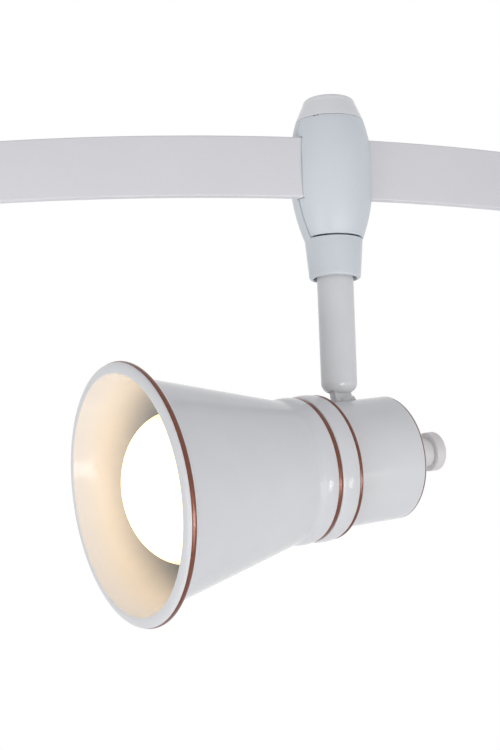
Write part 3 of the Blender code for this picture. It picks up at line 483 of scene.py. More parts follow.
def painted_deep_shade(tree, here, dust_and_shade_noise, paint):
    """Painted shade inside the shade: a bluish grey mixed in, more the deeper it lies towards the
    lamp, with a mottle from the dust noise.
    """
    split = along_lamp(tree, here)
    out = add(tree, "ShaderNodeCombineXYZ", {"X": (split, "X"), "Y": (split, "Y")})
    reach = add(tree, "ShaderNodeVectorMath", {0: (out, "Vector")}, operation="LENGTH")
    from_cone = add(tree, "ShaderNodeMath", {
        0: (split, "Z"), 1: -CONE_SLOPE, 2: (reach, "Value"),
    }, operation="MULTIPLY_ADD")
    inside = add(tree, "ShaderNodeMath", {
        0: (from_cone, "Value"), 1: (cone_radius(0) - SHADE_WALL / 2) * MM,
    }, operation="LESS_THAN")
    depth = add(tree, "ShaderNodeMapRange", {
        "Value": (split, "Z"), "From Min": MOUTH_FLARE * MM, "From Max": PAINTED_SHADE_DEEPEST * MM,
        "To Max": 0.25,
    }, interpolation_type="SMOOTHSTEP")
    painted_shade_mottle = add(tree, "ShaderNodeMapRange", {
        "Value": (dust_and_shade_noise, "Fac"), **NOISE_SPREAD, "To Min": 0.85, "To Max": 1.1,
    })
    painted_shade_inside = add(tree, "ShaderNodeMath", {
        0: (depth, "Result"), 1: (inside, "Value"),
    }, operation="MULTIPLY")
    share = add(tree, "ShaderNodeMath", {
        0: (painted_shade_inside, "Value"), 1: (painted_shade_mottle, "Result"),
    }, operation="MULTIPLY", use_clamp=True)
    # painted shade: a bluish grey on the deep inner wall
    return add(tree, "ShaderNodeMix", {
        SHARE: (share, "Value"), FIRST: (paint, MIXED), SECOND: linear("#848B96"),
    }, data_type="RGBA")


def stove_enamel(name, light, dark, dusty=False):
    """Stove enamel sprayed on steel: a hard gloss with the low swell of orange peel, a faint bloom
    and a few specks of dust."""
    material, tree, here = surface(name)
    bloom = add(tree, "ShaderNodeTexNoise", {"Vector": here, "Scale": per_mm(14), "Detail": 4.0})
    dust_and_shade_noise = add(tree, "ShaderNodeTexNoise", {"Vector": here, "Scale": per_mm(0.6), "Detail": 2.0})
    speck = add(tree, "ShaderNodeMapRange", {
        "Value": (dust_and_shade_noise, "Fac"), "From Min": 0.66, "From Max": 0.74, "To Min": 0.0, "To Max": 0.3,
    })
    tone = add(tree, "ShaderNodeMix", {
        SHARE: (bloom, "Fac"), FIRST: linear(dark), SECOND: linear(light),
    }, data_type="RGBA")
    paint = add(tree, "ShaderNodeMix", {
        SHARE: (speck, "Result"), FIRST: (tone, MIXED), SECOND: linear("#C9C6C2"),
    }, data_type="RGBA")
    # painted shade on the deep inner wall, where the lamp's silvered back leaves it unlit
    if dusty:
        paint = painted_deep_shade(tree, here, dust_and_shade_noise, paint)
    gloss = add(tree, "ShaderNodeMapRange", {
        "Value": (bloom, "Fac"), **NOISE_SPREAD, "To Min": 0.13, "To Max": 0.16,
    })
    peel = add(tree, "ShaderNodeTexNoise", {"Vector": here, "Scale": per_mm(2.4), "Detail": 1.5})
    swell = add(tree, "ShaderNodeBump", {
        "Height": (peel, "Fac"), "Strength": 0.2, "Distance": 0.015 * MM,
    })
    shader = add(tree, "ShaderNodeBsdfPrincipled", {
        "Base Color": (paint, MIXED), "Roughness": (gloss, "Result"), "Normal": (swell, "Normal"),
        "IOR": 1.5, "Specular IOR Level": 0.25,
    })
    add(tree, "ShaderNodeOutputMaterial", {"Surface": (shader, "BSDF")})
    return material


def moulded_plastic(name, light, dark, grain):
    """ABS from a spark-eroded mould: a satin face with fine even grain and slight flow shading."""
    material, tree, here = surface(name)
    flow = add(tree, "ShaderNodeTexNoise", {"Vector": here, "Scale": per_mm(18), "Detail": 3.0})
    tone = add(tree, "ShaderNodeMix", {
        SHARE: (flow, "Fac"), FIRST: linear(dark), SECOND: linear(light),
    }, data_type="RGBA")
    # the real grain is about 0.1 mm; it is drawn coarser so that it shows
    pits = add(tree, "ShaderNodeTexNoise", {"Vector": here, "Scale": per_mm(grain), "Detail": 2.0})
    satin = add(tree, "ShaderNodeMapRange", {
        "Value": (pits, "Fac"), **NOISE_SPREAD, "To Min": 0.34, "To Max": 0.46,
    })
    relief = add(tree, "ShaderNodeBump", {
        "Height": (pits, "Fac"), "Strength": 0.6, "Distance": 0.012 * MM,
    })
    shader = add(tree, "ShaderNodeBsdfPrincipled", {
        "Base Color": (tone, MIXED), "Roughness": (satin, "Result"), "Normal": (relief, "Normal"),
        "IOR": 1.53,
    })
    add(tree, "ShaderNodeOutputMaterial", {"Surface": (shader, "BSDF")})
    return material


def extruded_plastic():
    """PVC drawn through a die: long faint lines along the rail, and the speckle of its filler."""
    material, tree, here = surface("PVC, extruded white")
    stretch = add(tree, "ShaderNodeMapping", {
        "Vector": here, "Scale": (60.0, 60.0, 1.0),
    }, vector_type="TEXTURE")
    lines = add(tree, "ShaderNodeTexNoise", {
        "Vector": (stretch, "Vector"), "Scale": per_mm(0.9), "Detail": 2.0,
    })
    # filler grains are about 0.2 mm; they are drawn at twice that so that they show
    filler = add(tree, "ShaderNodeTexNoise", {"Vector": here, "Scale": per_mm(0.45), "Detail": 1.0})
    patches = add(tree, "ShaderNodeTexNoise", {"Vector": here, "Scale": per_mm(30), "Detail": 2.0})
    tone = add(tree, "ShaderNodeMix", {
        SHARE: (patches, "Fac"), FIRST: linear("#DCDCDF"), SECOND: linear("#E1E2E4"),
    }, data_type="RGBA")
    speck = add(tree, "ShaderNodeMapRange", {
        "Value": (filler, "Fac"), "From Min": 0.64, "From Max": 0.76, "To Min": 0.0, "To Max": 0.3,
    })
    paint = add(tree, "ShaderNodeMix", {
        SHARE: (speck, "Result"), FIRST: (tone, MIXED), SECOND: linear("#BEBCC2"),
    }, data_type="RGBA")
    satin = add(tree, "ShaderNodeMapRange", {
        "Value": (lines, "Fac"), **NOISE_SPREAD, "To Min": 0.36, "To Max": 0.48,
    })
    relief = add(tree, "ShaderNodeBump", {
        "Height": (lines, "Fac"), "Strength": 0.5, "Distance": 0.01 * MM,
    })
    grain = add(tree, "ShaderNodeBump", {
        "Height": (filler, "Fac"), "Strength": 0.25, "Distance": 0.015 * MM,
        "Normal": (relief, "Normal"),
    })
    shader = add(tree, "ShaderNodeBsdfPrincipled", {
        "Base Color": (paint, MIXED), "Roughness": (satin, "Result"), "Normal": (grain, "Normal"),
        "IOR": 1.53,
    })
    add(tree, "ShaderNodeOutputMaterial", {"Surface": (shader, "BSDF")})
    return material


def copper_lustre():
    """Copper lustre line, brushed on and lacquered: a deep red-brown that glints like metal."""
    material, tree, here = surface("copper lustre, brushed and lacquered")
    stroke = add(tree, "ShaderNodeTexNoise", {"Vector": here, "Scale": per_mm(1.6), "Detail": 3.0})
    tone = add(tree, "ShaderNodeMix", {
        SHARE: (stroke, "Fac"), FIRST: linear("#552310"), SECOND: linear("#7E3F22"),
    }, data_type="RGBA")
    sheen = add(tree, "ShaderNodeMapRange", {
        "Value": (stroke, "Fac"), **NOISE_SPREAD, "To Min": 0.3, "To Max": 0.38,
    })
    shader = add(tree, "ShaderNodeBsdfPrincipled", {
        "Base Color": (tone, MIXED), "Roughness": (sheen, "Result"), "Metallic": 0.55,
        "Coat Weight": 0.6, "Coat Roughness": 0.08,
    })
    add(tree, "ShaderNodeOutputMaterial", {"Surface": (shader, "BSDF")})
    return material


def worked_metal(name, bright, dull, mark, roughness, stretch):
    """Plated, drawn or turned metal: tool marks along one way, and blotches where it has dulled."""
    material, tree, here = surface(name)
    drawn = add(tree, "ShaderNodeMapping", {
        "Vector": here, "Scale": stretch,
    }, vector_type="TEXTURE")
    marks = add(tree, "ShaderNodeTexNoise", {
        "Vector": (drawn, "Vector"), "Scale": per_mm(mark), "Detail": 3.0,
    })
    blotch = add(tree, "ShaderNodeTexNoise", {"Vector": here, "Scale": per_mm(3.5), "Detail": 4.0})
    tone = add(tree, "ShaderNodeMix", {
        SHARE: (blotch, "Fac"), FIRST: linear(bright), SECOND: linear(dull),
    }, data_type="RGBA")
    wear = add(tree, "ShaderNodeMapRange", {
        "Value": (marks, "Fac"), **NOISE_SPREAD,
        "To Min": roughness - 0.08, "To Max": roughness + 0.1,
    })
    relief = add(tree, "ShaderNodeBump", {
        "Height": (marks, "Fac"), "Strength": 0.4, "Distance": 0.01 * MM,
    })
    shader = add(tree, "ShaderNodeBsdfPrincipled", {
        "Base Color": (tone, MIXED), "Roughness": (wear, "Result"), "Normal": (relief, "Normal"),
        "Metallic": 1.0,
    })
    add(tree, "ShaderNodeOutputMaterial", {"Surface": (shader, "BSDF")})
    return material


def thermoset():
    """Phenolic moulding: near black, with a dull skin and the brown fleck of its filler."""
    material, tree, here = surface("phenolic, moulded black")
    fleck = add(tree, "ShaderNodeTexNoise", {"Vector": here, "Scale": per_mm(0.5), "Detail": 3.0})
    tone = add(tree, "ShaderNodeMix", {
        SHARE: (fleck, "Fac"), FIRST: linear("#1E1B19"), SECOND: linear("#332C27"),
    }, data_type="RGBA")
    skin = add(tree, "ShaderNodeMapRange", {
        "Value": (fleck, "Fac"), **NOISE_SPREAD, "To Min": 0.4, "To Max": 0.6,
    })
    shader = add(tree, "ShaderNodeBsdfPrincipled", {
        "Base Color": (tone, MIXED), "Roughness": (skin, "Result"), "IOR": 1.6,
    })
    add(tree, "ShaderNodeOutputMaterial", {"Surface": (shader, "BSDF")})
    return material


def glazed_porcelain():
    """Porcelain under a clear glaze: creamy, wet-looking, with pin-pricks where gas left it."""
    material, tree, here = surface("porcelain, glazed")
    body = add(tree, "ShaderNodeTexNoise", {"Vector": here, "Scale": per_mm(6), "Detail": 3.0})
    tone = add(tree, "ShaderNodeMix", {
        SHARE: (body, "Fac"), FIRST: linear("#E6E1D6"), SECOND: linear("#F0ECE3"),
    }, data_type="RGBA")
    pricks = add(tree, "ShaderNodeTexNoise", {"Vector": here, "Scale": per_mm(0.5), "Detail": 1.0})
    holes = add(tree, "ShaderNodeMapRange", {
        "Value": (pricks, "Fac"), "From Min": 0.7, "From Max": 0.8, "To Min": 0.18, "To Max": 0.5,
    })
    shader = add(tree, "ShaderNodeBsdfPrincipled", {
        "Base Color": (tone, MIXED), "Roughness": (holes, "Result"), "IOR": 1.55,
        "Coat Weight": 0.6,
    })
    add(tree, "ShaderNodeOutputMaterial", {"Surface": (shader, "BSDF")})
    return material


def lit_reflector_lamp():
    """Blown glass, acid-frosted in front and silvered behind: the face glows warm white, and the
    back stays metal grey."""
    material, tree, here = surface("glass, blown and frosted, lit")
    silver_edge = 1.5
    full_glow = 15.0
    split = along_lamp(tree, here)
    face = add(tree, "ShaderNodeMapRange", {
        "Value": (split, "Z"), "From Min": (LAMP_WIDEST - silver_edge) * MM,
        "From Max": (LAMP_WIDEST + silver_edge) * MM,
    }, interpolation_type="SMOOTHSTEP")
    depth = add(tree, "ShaderNodeMapRange", {
        "Value": (split, "Z"), "From Min": LAMP_WIDEST * MM,
        "From Max": (LAMP_WIDEST + full_glow) * MM, "To Min": 0.03, "To Max": 1.0,
    }, interpolation_type="SMOOTHSTEP")
    frost = add(tree, "ShaderNodeTexNoise", {"Vector": here, "Scale": per_mm(1.2), "Detail": 3.0})
    etched = add(tree, "ShaderNodeMapRange", {
        "Value": (frost, "Fac"), **NOISE_SPREAD, "To Min": 0.9, "To Max": 1.1,
    })
    tone = add(tree, "ShaderNodeMix", {
        SHARE: (face, "Result"), FIRST: linear("#B9B6B0"), SECOND: linear("#F4EFE4"),
    }, data_type="RGBA")
    glow = add(tree, "ShaderNodeMath", {
        0: (depth, "Result"), 1: (face, "Result"),
    }, operation="MULTIPLY")
    power = add(tree, "ShaderNodeMath", {
        0: (glow, "Value"), 1: (etched, "Result"),
    }, operation="MULTIPLY")
    level = add(tree, "ShaderNodeMath", {0: (power, "Value"), 1: LAMP_GLOW}, operation="MULTIPLY")
    satin = add(tree, "ShaderNodeMapRange", {
        "Value": (face, "Result"), "To Min": 0.25, "To Max": 0.5,
    })
    shader = add(tree, "ShaderNodeBsdfPrincipled", {
        "Base Color": (tone, MIXED), "Roughness": (satin, "Result"), "IOR": 1.5,
        "Emission Color": linear("#FFCF84"), "Emission Strength": (level, "Value"),
    })
    add(tree, "ShaderNodeOutputMaterial", {"Surface": (shader, "BSDF")})
    return material


WHITE = ("#E0E2E3", "#D9DBDC")
FINISHES = {
    "white_enamel": stove_enamel("stove enamel, sprayed gloss white", *WHITE),
    "cool_white_plastic": moulded_plastic("ABS, moulded cool white", "#D9E0E4", "#D2DADF", 0.45),
    "rail_plastic": extruded_plastic(),
    "knob_plastic": moulded_plastic("ABS, moulded warm white", "#E2E0DE", "#DAD8D7", 0.4),
    "copper_enamel": copper_lustre(),
    "copper": worked_metal("copper, drawn", "#C98A63", "#A0664A", 0.5, 0.3, (20.0, 20.0, 1.0)),
    "brass": worked_metal("brass, spun", "#D5B066", "#B38D4C", 0.4, 0.28, (1.0, 1.0, 0.2)),
    "nickel": worked_metal(
        "brass, nickel-plated", "#CFCBC3", "#B1ACA4", 0.6, 0.25, (1.0, 1.0, 0.3)
    ),
    "zinc_steel": worked_metal(
        "steel, zinc-plated", "#C9CCCF", "#A3A7AA", 0.5, 0.34, (1.0, 1.0, 0.4)
    ),
    "black_thermoset": thermoset(),
    "porcelain": glazed_porcelain(),
    "frosted_glass": lit_reflector_lamp(),
}
# the shade's enamel, with painted shade deep inside
INSIDE_SHADED_ENAMEL = stove_enamel("stove enamel, sprayed gloss white, dusty inside", *WHITE, dusty=True)
CAP_ENAMEL = stove_enamel("stove enamel, sprayed pale white", "#E9EBEC", "#E3E5E6")


def dressed(obj, body, slot, finish=None):
    """Gives a finished piece its material, and puts it in place of the solid that has its name."""
    obj.data.transform(obj.matrix_world)
    obj.matrix_world = Matrix.Identity(4)
    obj.data.materials.clear()
    obj.data.materials.append(finish or FINISHES[slot])
    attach(obj, body)
    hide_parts(obj.name.removesuffix(LOOK))


# Rail

def rail():
    front = RAIL_THICKNESS / 2
    across = front - RAIL_EDGE
    up = RAIL_HEIGHT / 2 - RAIL_EDGE
    floor = GROOVE_DEPTH - front
    section = oval((across, up), RAIL_EDGE, RAIL_EDGE, 90, 0, 6)
    section += oval((across, -up), RAIL_EDGE, RAIL_EDGE, 0, -90, 6)
    section += oval((-across, -up), RAIL_EDGE, RAIL_EDGE, -90, -180, 6)
    for middle in GROOVES.values():
        low = middle - GROOVE_HEIGHT / 2
        high = middle + GROOVE_HEIGHT / 2
        section += [(-front, low), (floor, low), (floor, high), (-front, high)]
    section += oval((-across, up), RAIL_EDGE, RAIL_EDGE, 180, 90, 6)
    band = bent("rail_band", section, RAIL_LEFT, RAIL_RIGHT, RAIL_STEPS)
    dressed(band, "rail", "rail_plastic")
    inner = floor - GAP
    outer = inner - CONDUCTOR_THICKNESS
    for name, middle in GROOVES.items():
        low = middle - CONDUCTOR_HEIGHT / 2
        high = middle + CONDUCTOR_HEIGHT / 2
        section = [(outer, low), (inner, low), (inner, high), (outer, high)]
        strip = bent(f"rail_conductor_{name}", section, RAIL_LEFT, RAIL_RIGHT, RAIL_STEPS)
        dressed(strip, "rail", "copper")


# Adapter

def rail_room(clearance):
    """A cutter with the rail's curve and section, a little larger."""
    front = RAIL_THICKNESS / 2 + clearance
    side = RAIL_HEIGHT / 2 + clearance
    section = [(-front, -side), (front, -side), (front, side), (-front, side)]
    sweep = 2 * BARREL_RADIUS / RAIL_RADIUS
    return bent("rail_room", section, -sweep, sweep, 24)


def adapter():
    far = 2 * BARREL_RADIUS
    ceiling = SHELL_TOP - SHELL_WALL
    lip = (CUP_RADIUS - CUP_LIP, CUP_BOTTOM + CUP_LIP)
    outline = [(0, SHELL_TOP)] + barrel(SHELL_TOP, CUP_TOP)
    outline += oval(lip, CUP_LIP, CUP_LIP, 0, -90, 8)
    outline += [(CUP_BORE, CUP_BOTTOM, 0.2), (CUP_BORE, CUP_FLOOR_BOTTOM)]
    outline += [(BUSH_HOLE, CUP_FLOOR_BOTTOM), (BUSH_HOLE, CUP_FLOOR_TOP)]
    outline += [(barrel_radius(CUP_TOP, SHELL_WALL), CUP_FLOOR_TOP)]
    outline += barrel(CUP_TOP, ceiling, SHELL_WALL) + [(0, ceiling)]
    body = turned("adapter_body", outline, ADAPTER)
    opening_end = (far, COVER_SEAM + GAP / 2, CAP_TOP)
    carved(body, block("opening", (-far, -far, CUP_TOP), opening_end, ADAPTER))
    carved(body, rail_room(RAIL_CLEARANCE))
    carved(body, turned("hole", rod(CAP_SCREW_HOLE, CAP_TOP, 16), ADAPTER, segments=32))
    dressed(broken_edges(body), "adapter", "cool_white_plastic")

    shoulder = CAP_TOP - CAP_CORNER
    side = []
    for radius, height in barrel(shoulder, CAP_SEAM, steps=8):
        side.append((radius - CAP_TAPER * (height - CAP_SEAM), height))
    corner = (side[0][0] - CAP_CORNER, shoulder)
    outline = [(CAP_SCREW_HOLE, CAP_SEAM), (CAP_SCREW_HOLE, CAP_SCREW_SEAT)]
    outline += [(CAP_SCREW_RECESS, CAP_SCREW_SEAT), (CAP_SCREW_RECESS, CAP_TOP, 0.3)]
    outline += oval(corner, CAP_CORNER, CAP_CORNER, 90, 0, 12) + side[1:-1]
    outline += [(barrel_radius(CAP_SEAM), CAP_SEAM, 0.15)]
    outline += [(barrel_radius(height, SHELL_WALL), height) for height in (CAP_SEAM, shoulder)]
    outline += [(CAP_BOSS, shoulder), (CAP_BOSS, CAP_SEAM)]
    cap = turned("adapter_top_cap", outline, ADAPTER)
    dressed(cap, "adapter", "white_enamel", CAP_ENAMEL)

    outline = headed(top=29.9, seat=28.1, head=2.9, shank=1.5, end=18.0)
    screw = turned("cap_screw", outline, ADAPTER, segments=48)
    carved(screw, block("slot", (-4, -SLOT_HALF, 29.0), (4, SLOT_HALF, CAP_TOP), ADAPTER))
    dressed(screw, "adapter", "zinc_steel")


def front_cover():
    far = 2 * BARREL_RADIUS
    below = -70
    corner = COVER_BOTTOM + COVER_CORNER
    edge = barrel_radius(corner)
    rounding = oval((edge - COVER_CORNER, corner), COVER_CORNER, COVER_CORNER, 0, -90, 8)
    outline = [(0, SHELL_TOP)] + barrel(SHELL_TOP, corner) + rounding[1:] + [(0, COVER_BOTTOM)]
    cover = turned("adapter_front_cover", outline, ADAPTER)
    behind = (-far, COVER_SEAM - GAP / 2, below)
    carved(cover, block("behind", behind, (far, far, CAP_TOP), ADAPTER))
    ceiling = SHELL_TOP - SHELL_WALL
    floor = COVER_BOTTOM + SHELL_WALL
    hollow = [(0, ceiling)] + barrel(ceiling, floor, SHELL_WALL) + [(0, floor)]
    carved(cover, turned("hollow", hollow, ADAPTER))
    inside = edge - COVER_REBATE_WALL
    rebate = rod(inside, COVER_BOTTOM - COVER_REBATE, COVER_BOTTOM + COVER_REBATE)
    carved(cover, turned("rebate", rebate, ADAPTER))
    carved(cover, rail_room(GAP))
    # the cover stands off a little below the rail, and is cut straight beside it
    rail_top = RAIL_HEIGHT / 2 - ADAPTER_ABOVE_RAIL + GAP
    rail_low = rail_top - RAIL_HEIGHT - 2 * GAP
    stand_off = (-far, COVER_SEAM - COVER_STAND_OFF, below)
    carved(cover, block("stand_off", stand_off, (far, far, rail_low), ADAPTER))
    for side in (-1, 1):
        left, right = sorted((side * COVER_RAIL_EDGE, side * far))
        carved(cover, block("rail_edge", (left, -far, rail_low), (right, far, rail_top), ADAPTER))
    root = COVER_SEAM - COVER_TAB_ROOT
    tip = COVER_SEAM + COVER_TAB_REACH
    stop = COVER_SEAM - GAP
    upper = [(root, 16.1), (tip, 16.1), (tip, 17.7), (stop, 17.7), (stop, 19), (root, 19)]
    lower = [(root, -30.9), (tip, -30.9), (tip, -29.3), (root, -29.3)]
    for outline in (upper, lower):
        tab = plate("tab", outline, 0, -COVER_TAB_HALF, COVER_TAB_HALF, ADAPTER)
        carved(cover, tab, "UNION")
    broken_edges(cover)
    # nicks in the upper edge, where a screwdriver has lifted the cap
    for turn, half in COVER_NICKS:
        place = ADAPTER @ Matrix.Rotation(math.radians(turn), 4, "Z")
        nick_start = (-half, -BARREL_RADIUS, SHELL_TOP - COVER_NICK_DEPTH)
        carved(cover, block("nick", nick_start, (half, -COVER_NICK_INNER, CAP_TOP), place))
    dressed(cover, "front_cover", "cool_white_plastic")


def contacts():
    half = RAIL_HEIGHT / 2 - CARRIER_MARGIN
    face = COVER_SEAM + RAIL_CLEARANCE + GAP
    nose = COVER_SEAM - 2 * GAP
    carrier_end = (CARRIER_HALF, BARREL_RADIUS, half)
    carrier = block("contact_carrier", (-CARRIER_HALF, face, -half), carrier_end, CONTACTS)
    room = [(0, 2 * half)] + barrel(2 * half, -2 * half, SHELL_WALL + GAP) + [(0, -2 * half)]
    carved(carrier, turned("room", room, ADAPTER), "INTERSECT")
    across = spaced(-BLADE_HALF, BLADE_HALF, 32)
    bow = [(x, nose + BLADE_BOW * (x / BLADE_HALF) ** 2) for x in across]
    outline = bow + [(x, y + BLADE_THICKNESS) for x, y in reversed(bow)]
    slot_half = BLADE_HALF + GAP
    slot_depth = nose + BLADE_BOW + BLADE_THICKNESS + GAP
    for name, middle in GROOVES.items():
        low = middle - BLADE_HEIGHT / 2
        high = middle + BLADE_HEIGHT / 2
        blade = plate(f"contact_blade_{name}", outline, 2, low, high, CONTACTS)
        dressed(blade, "adapter", "copper")
        slot_start = (-slot_half, -STEM_BEHIND_RAIL, low - GAP)
        carved(carrier, block("slot", slot_start, (slot_half, slot_depth, high + GAP), CONTACTS))
    dressed(broken_edges(carrier, 0.25), "adapter", "black_thermoset")


# Stem and tilt joint

def stem():
    foot = (STEM_RADIUS - STEM_ROUNDING - STEM_TAPER, STEM_BOTTOM + STEM_ROUNDING)
    outline = [(0, STEM_BORE_END), (STEM_BORE, STEM_BORE_END, 0.4), (STEM_BORE, STEM_TOP, 0.2)]
    outline += [(STEM_RADIUS, STEM_TOP, 0.4)]
    outline += oval(foot, STEM_ROUNDING, STEM_ROUNDING, 0, -90) + [(0, STEM_BOTTOM)]
    tube = turned("stem_tube", outline, ADAPTER, segments=112)
    across = TONGUE_THICKNESS / 2 + SLOT_GAP
    slot_end = (SLOT_FRONT, across, TONGUE_EYE + SLOT_GAP)
    carved(tube, block("slot", (-16, -across, -20), slot_end, PAN))
    hole = rod(PIN_HOLE, 16, PIN_BLIND_END)
    carved(tube, turned("pin_hole", hole, PAN @ ACROSS, segments=40))
    dressed(broken_edges(tube, 0.25), "stem", "white_enamel")
    pin = turned("pivot_pin", rod(PIN_RADIUS, 7.6, -6.4, 0.3), PAN @ ACROSS, segments=40)
    dressed(pin, "stem", "zinc_steel")
    outline = [(3.0, -34.4, 0.3), (4.9, -34.4, 0.4), (4.9, -40.7, 0.1), (6.0, -40.7, 0.2)]
    outline += [(6.0, -49.7, 0.4), (3.0, -49.7, 0.3)]
    dressed(turned("stem_bush", outline, ADAPTER, segments=64), "stem", "zinc_steel")
    outline = hoop(BUSH_HOLE, 7.5, -35.6, -36.8, 0.1, 0.25)
    dressed(turned("stem_retainer", outline, ADAPTER, segments=64), "stem", "zinc_steel")


def tongue():
    half = TONGUE_THICKNESS / 2
    outline = oval((0, 0), TONGUE_EYE, TONGUE_EYE, 0, 180, 24)
    outline += [(-3.4, -TONGUE_EYE), (-3.4, -10.7), (-4.6, -11.1), (-5.4, TONGUE_FOOT)]
    outline += [(TONGUE_FRONT, TONGUE_FOOT), (TONGUE_FRONT, -TONGUE_EYE)]
    link = broken_edges(plate("swivel_tongue", outline, 1, -half, half, TILT), 0.3)
    carved(link, turned("pin_hole", rod(PIN_HOLE, 6, -6), TILT @ ACROSS, segments=40))
    shank = [(0, -11.4), (SHANK_RADIUS, -11.4), (SHANK_RADIUS, SHANK_END, 0.4), (0, SHANK_END)]
    carved(link, turned("shank", shank, TILT, segments=48), "UNION")
    dressed(link, "head", "white_enamel")
    outline = hoop(SHANK_HOLE, 6.0, -15.15, -16.1, 0.1, 0.2)
    dressed(turned("tongue_washer", outline, TILT, segments=64), "head", "zinc_steel")
    hexagon = rod(NUT_ACROSS / math.sqrt(3), -16.45, -19.9)
    nut = turned("tongue_nut", hexagon, TILT, segments=6)
    rounds = [(0, -15.2), (5.4, -16.3), (6.5, -16.9), (6.5, -19.4), (5.4, -20.0), (0, -21.1)]
    carved(nut, turned("corners", rounds, TILT, segments=64), "INTERSECT")
    carved(nut, turned("bore", rod(SHANK_HOLE, -12, -24), TILT, segments=48))
    dressed(nut, "head", "zinc_steel")


# Lamp head

def screw_seat(turn):
    """The frame of a shade screw, its axis pointing out through the housing's wall."""
    seat = SHADE_SCREW_SEAT * MM
    along = (SHADE_BACK + 2.0) * MM
    out = Matrix.Translation((seat * math.cos(turn), seat * math.sin(turn), along))
    return LAMP @ out @ Matrix.Rotation(turn, 4, "Z") @ FORWARD


def housing():
    front = SHADE_BACK + 4.0
    outline = [(HOUSING_BORE, front, 0.2), (HOUSING_RADIUS, front, 0.2)]
    outline += [(HOUSING_RADIUS, HOUSING_BACK, 0.15), (HOUSING_BORE, HOUSING_BACK, 0.15)]
    shell = turned("lamp_housing", outline, LAMP)
    carved(shell, turned("shank_hole", rod(SHANK_HOLE, 0, -AXIS_DROP), TILT, segments=48))
    hole = rod(SHADE_SCREW_HOLE, 6, SHADE_SCREW_CLEAR)
    for turn in SHADE_SCREWS.values():
        carved(shell, turned("screw_hole", hole, screw_seat(turn), segments=24))
    dressed(shell, "head", "white_enamel")
    copper_lines = {
        "rear_trim_ring": crowned(RING_BORE, (29.95, 16.27), across=0.45, along=0.7, start=80),
        "front_trim_ring": crowned(RING_BORE, (29.8, 26.25), across=0.35, along=0.93),
        "back_trim_ring": hoop(24.3, HOUSING_RADIUS, -18.42, -18.75),
    }
    for name, outline in copper_lines.items():
        dressed(turned(name, outline, LAMP), "head", "copper_enamel")
    outline = crowned(RING_BORE, (29.95, 21.15), across=0.85, along=4.15, steps=32)
    dressed(turned("collar_ring", outline, LAMP), "head", "white_enamel")


def shade():
    outer = [(RING_BORE, BEAD_MIDDLE[1] - BEAD_HALF)]
    outer += oval(BEAD_MIDDLE, BEAD_CROWN, BEAD_HALF, -90, 40, 24)
    # a hollow fillet leads from the bead to the straight cone
    outer += [(CONE_BACK + 0.2, 35.8, 5.0)]
    outer += [(cone_radius(along), along) for along in spaced(39.5, CONE_END, 10)]
    turn_out = (CONE_FRONT, CONE_END + RIM_TURN_OUT)
    outer += oval(turn_out, RIM_SEAT - CONE_FRONT, RIM_TURN_OUT, -60, 0, 12)
    edge = RIM_AT - LIP_EDGE
    lip_radius = RIM_RADIUS - LIP_INSET
    lip_top = RIM_AT + LIP_RISE
    crest = CONE_FRONT + LIP_CREST
    lip = [(RIM_SEAT, edge), (lip_radius, edge)]
    lip += oval((crest, edge), lip_radius - crest, lip_top - edge, 0, 90)[1:]
    # inside, the cone opens a little before it turns over into the lip
    inner = [(cone_radius(along) - SHADE_WALL, along) for along in spaced(MOUTH_FLARE, 33, 10)]
    throat = (CONE_FRONT + THROAT, edge)
    lean, near, far = 0.5, 0.9, 2.7
    above = (throat[0] + lean * near, edge + near)
    below = (throat[0] - lean * far, edge - far)
    flare = (inner[0][0] + CONE_SLOPE * far, MOUTH_FLARE + far)
    lip += eased((crest, lip_top), (crest - near, lip_top), above, throat)[1:]
    lip += eased(throat, below, flare, inner[0])[1:-1]
    inner += [(RING_BORE + 0.6, 31.9), (RING_BORE, 31.6)]
    cone = turned("shade", outer + lip + inner, LAMP, segments=192)
    tip = RING_BORE + SHADE_SCREW_REACH - SHADE_SCREW_SEAT
    hole = rod(SHADE_SCREW_HOLE, tip + GAP, SHADE_SCREW_CLEAR)
    outline = headed(top=-1.2, seat=0.0, head=SHADE_SCREW_HEAD, shank=1.0, end=tip, crown=0.4)
    for name, turn in SHADE_SCREWS.items():
        place = screw_seat(turn)
        carved(cone, turned("screw_hole", hole, place, segments=24))
        dressed(turned(name, outline, place, segments=40), "head", "zinc_steel")
    dressed(cone, "head", "white_enamel", INSIDE_SHADED_ENAMEL)
    crown = (RIM_RADIUS - RIM_CROWN, 104.92)
    outline = crowned(RIM_SEAT, crown, across=RIM_CROWN, along=1.05, steps=16)
    rim = turned("rim_trim_ring", outline, LAMP, segments=192)
    dressed(rim, "head", "copper_enamel")


def bulb(inset):
    """One side of the lamp's glass, from the middle of its face to the end of its neck."""
    face_depth = LAMP_FRONT - LAMP_WIDEST
    face = oval((0, LAMP_WIDEST), LAMP_RADIUS - inset, face_depth - inset, 90, 0, 28)
    side = []
    for turn in spaced(1, 0, 24)[1:]:
        swell = (LAMP_RADIUS - LAMP_NECK) * math.sin(turn * math.pi / 2)
        side.append((LAMP_NECK + swell - inset, LAMP_FLARE + (LAMP_WIDEST - LAMP_FLARE) * turn))
    return [(0, LAMP_FRONT - inset), *face[1:], *side, (LAMP_NECK - inset, LAMP_NECK_END)]


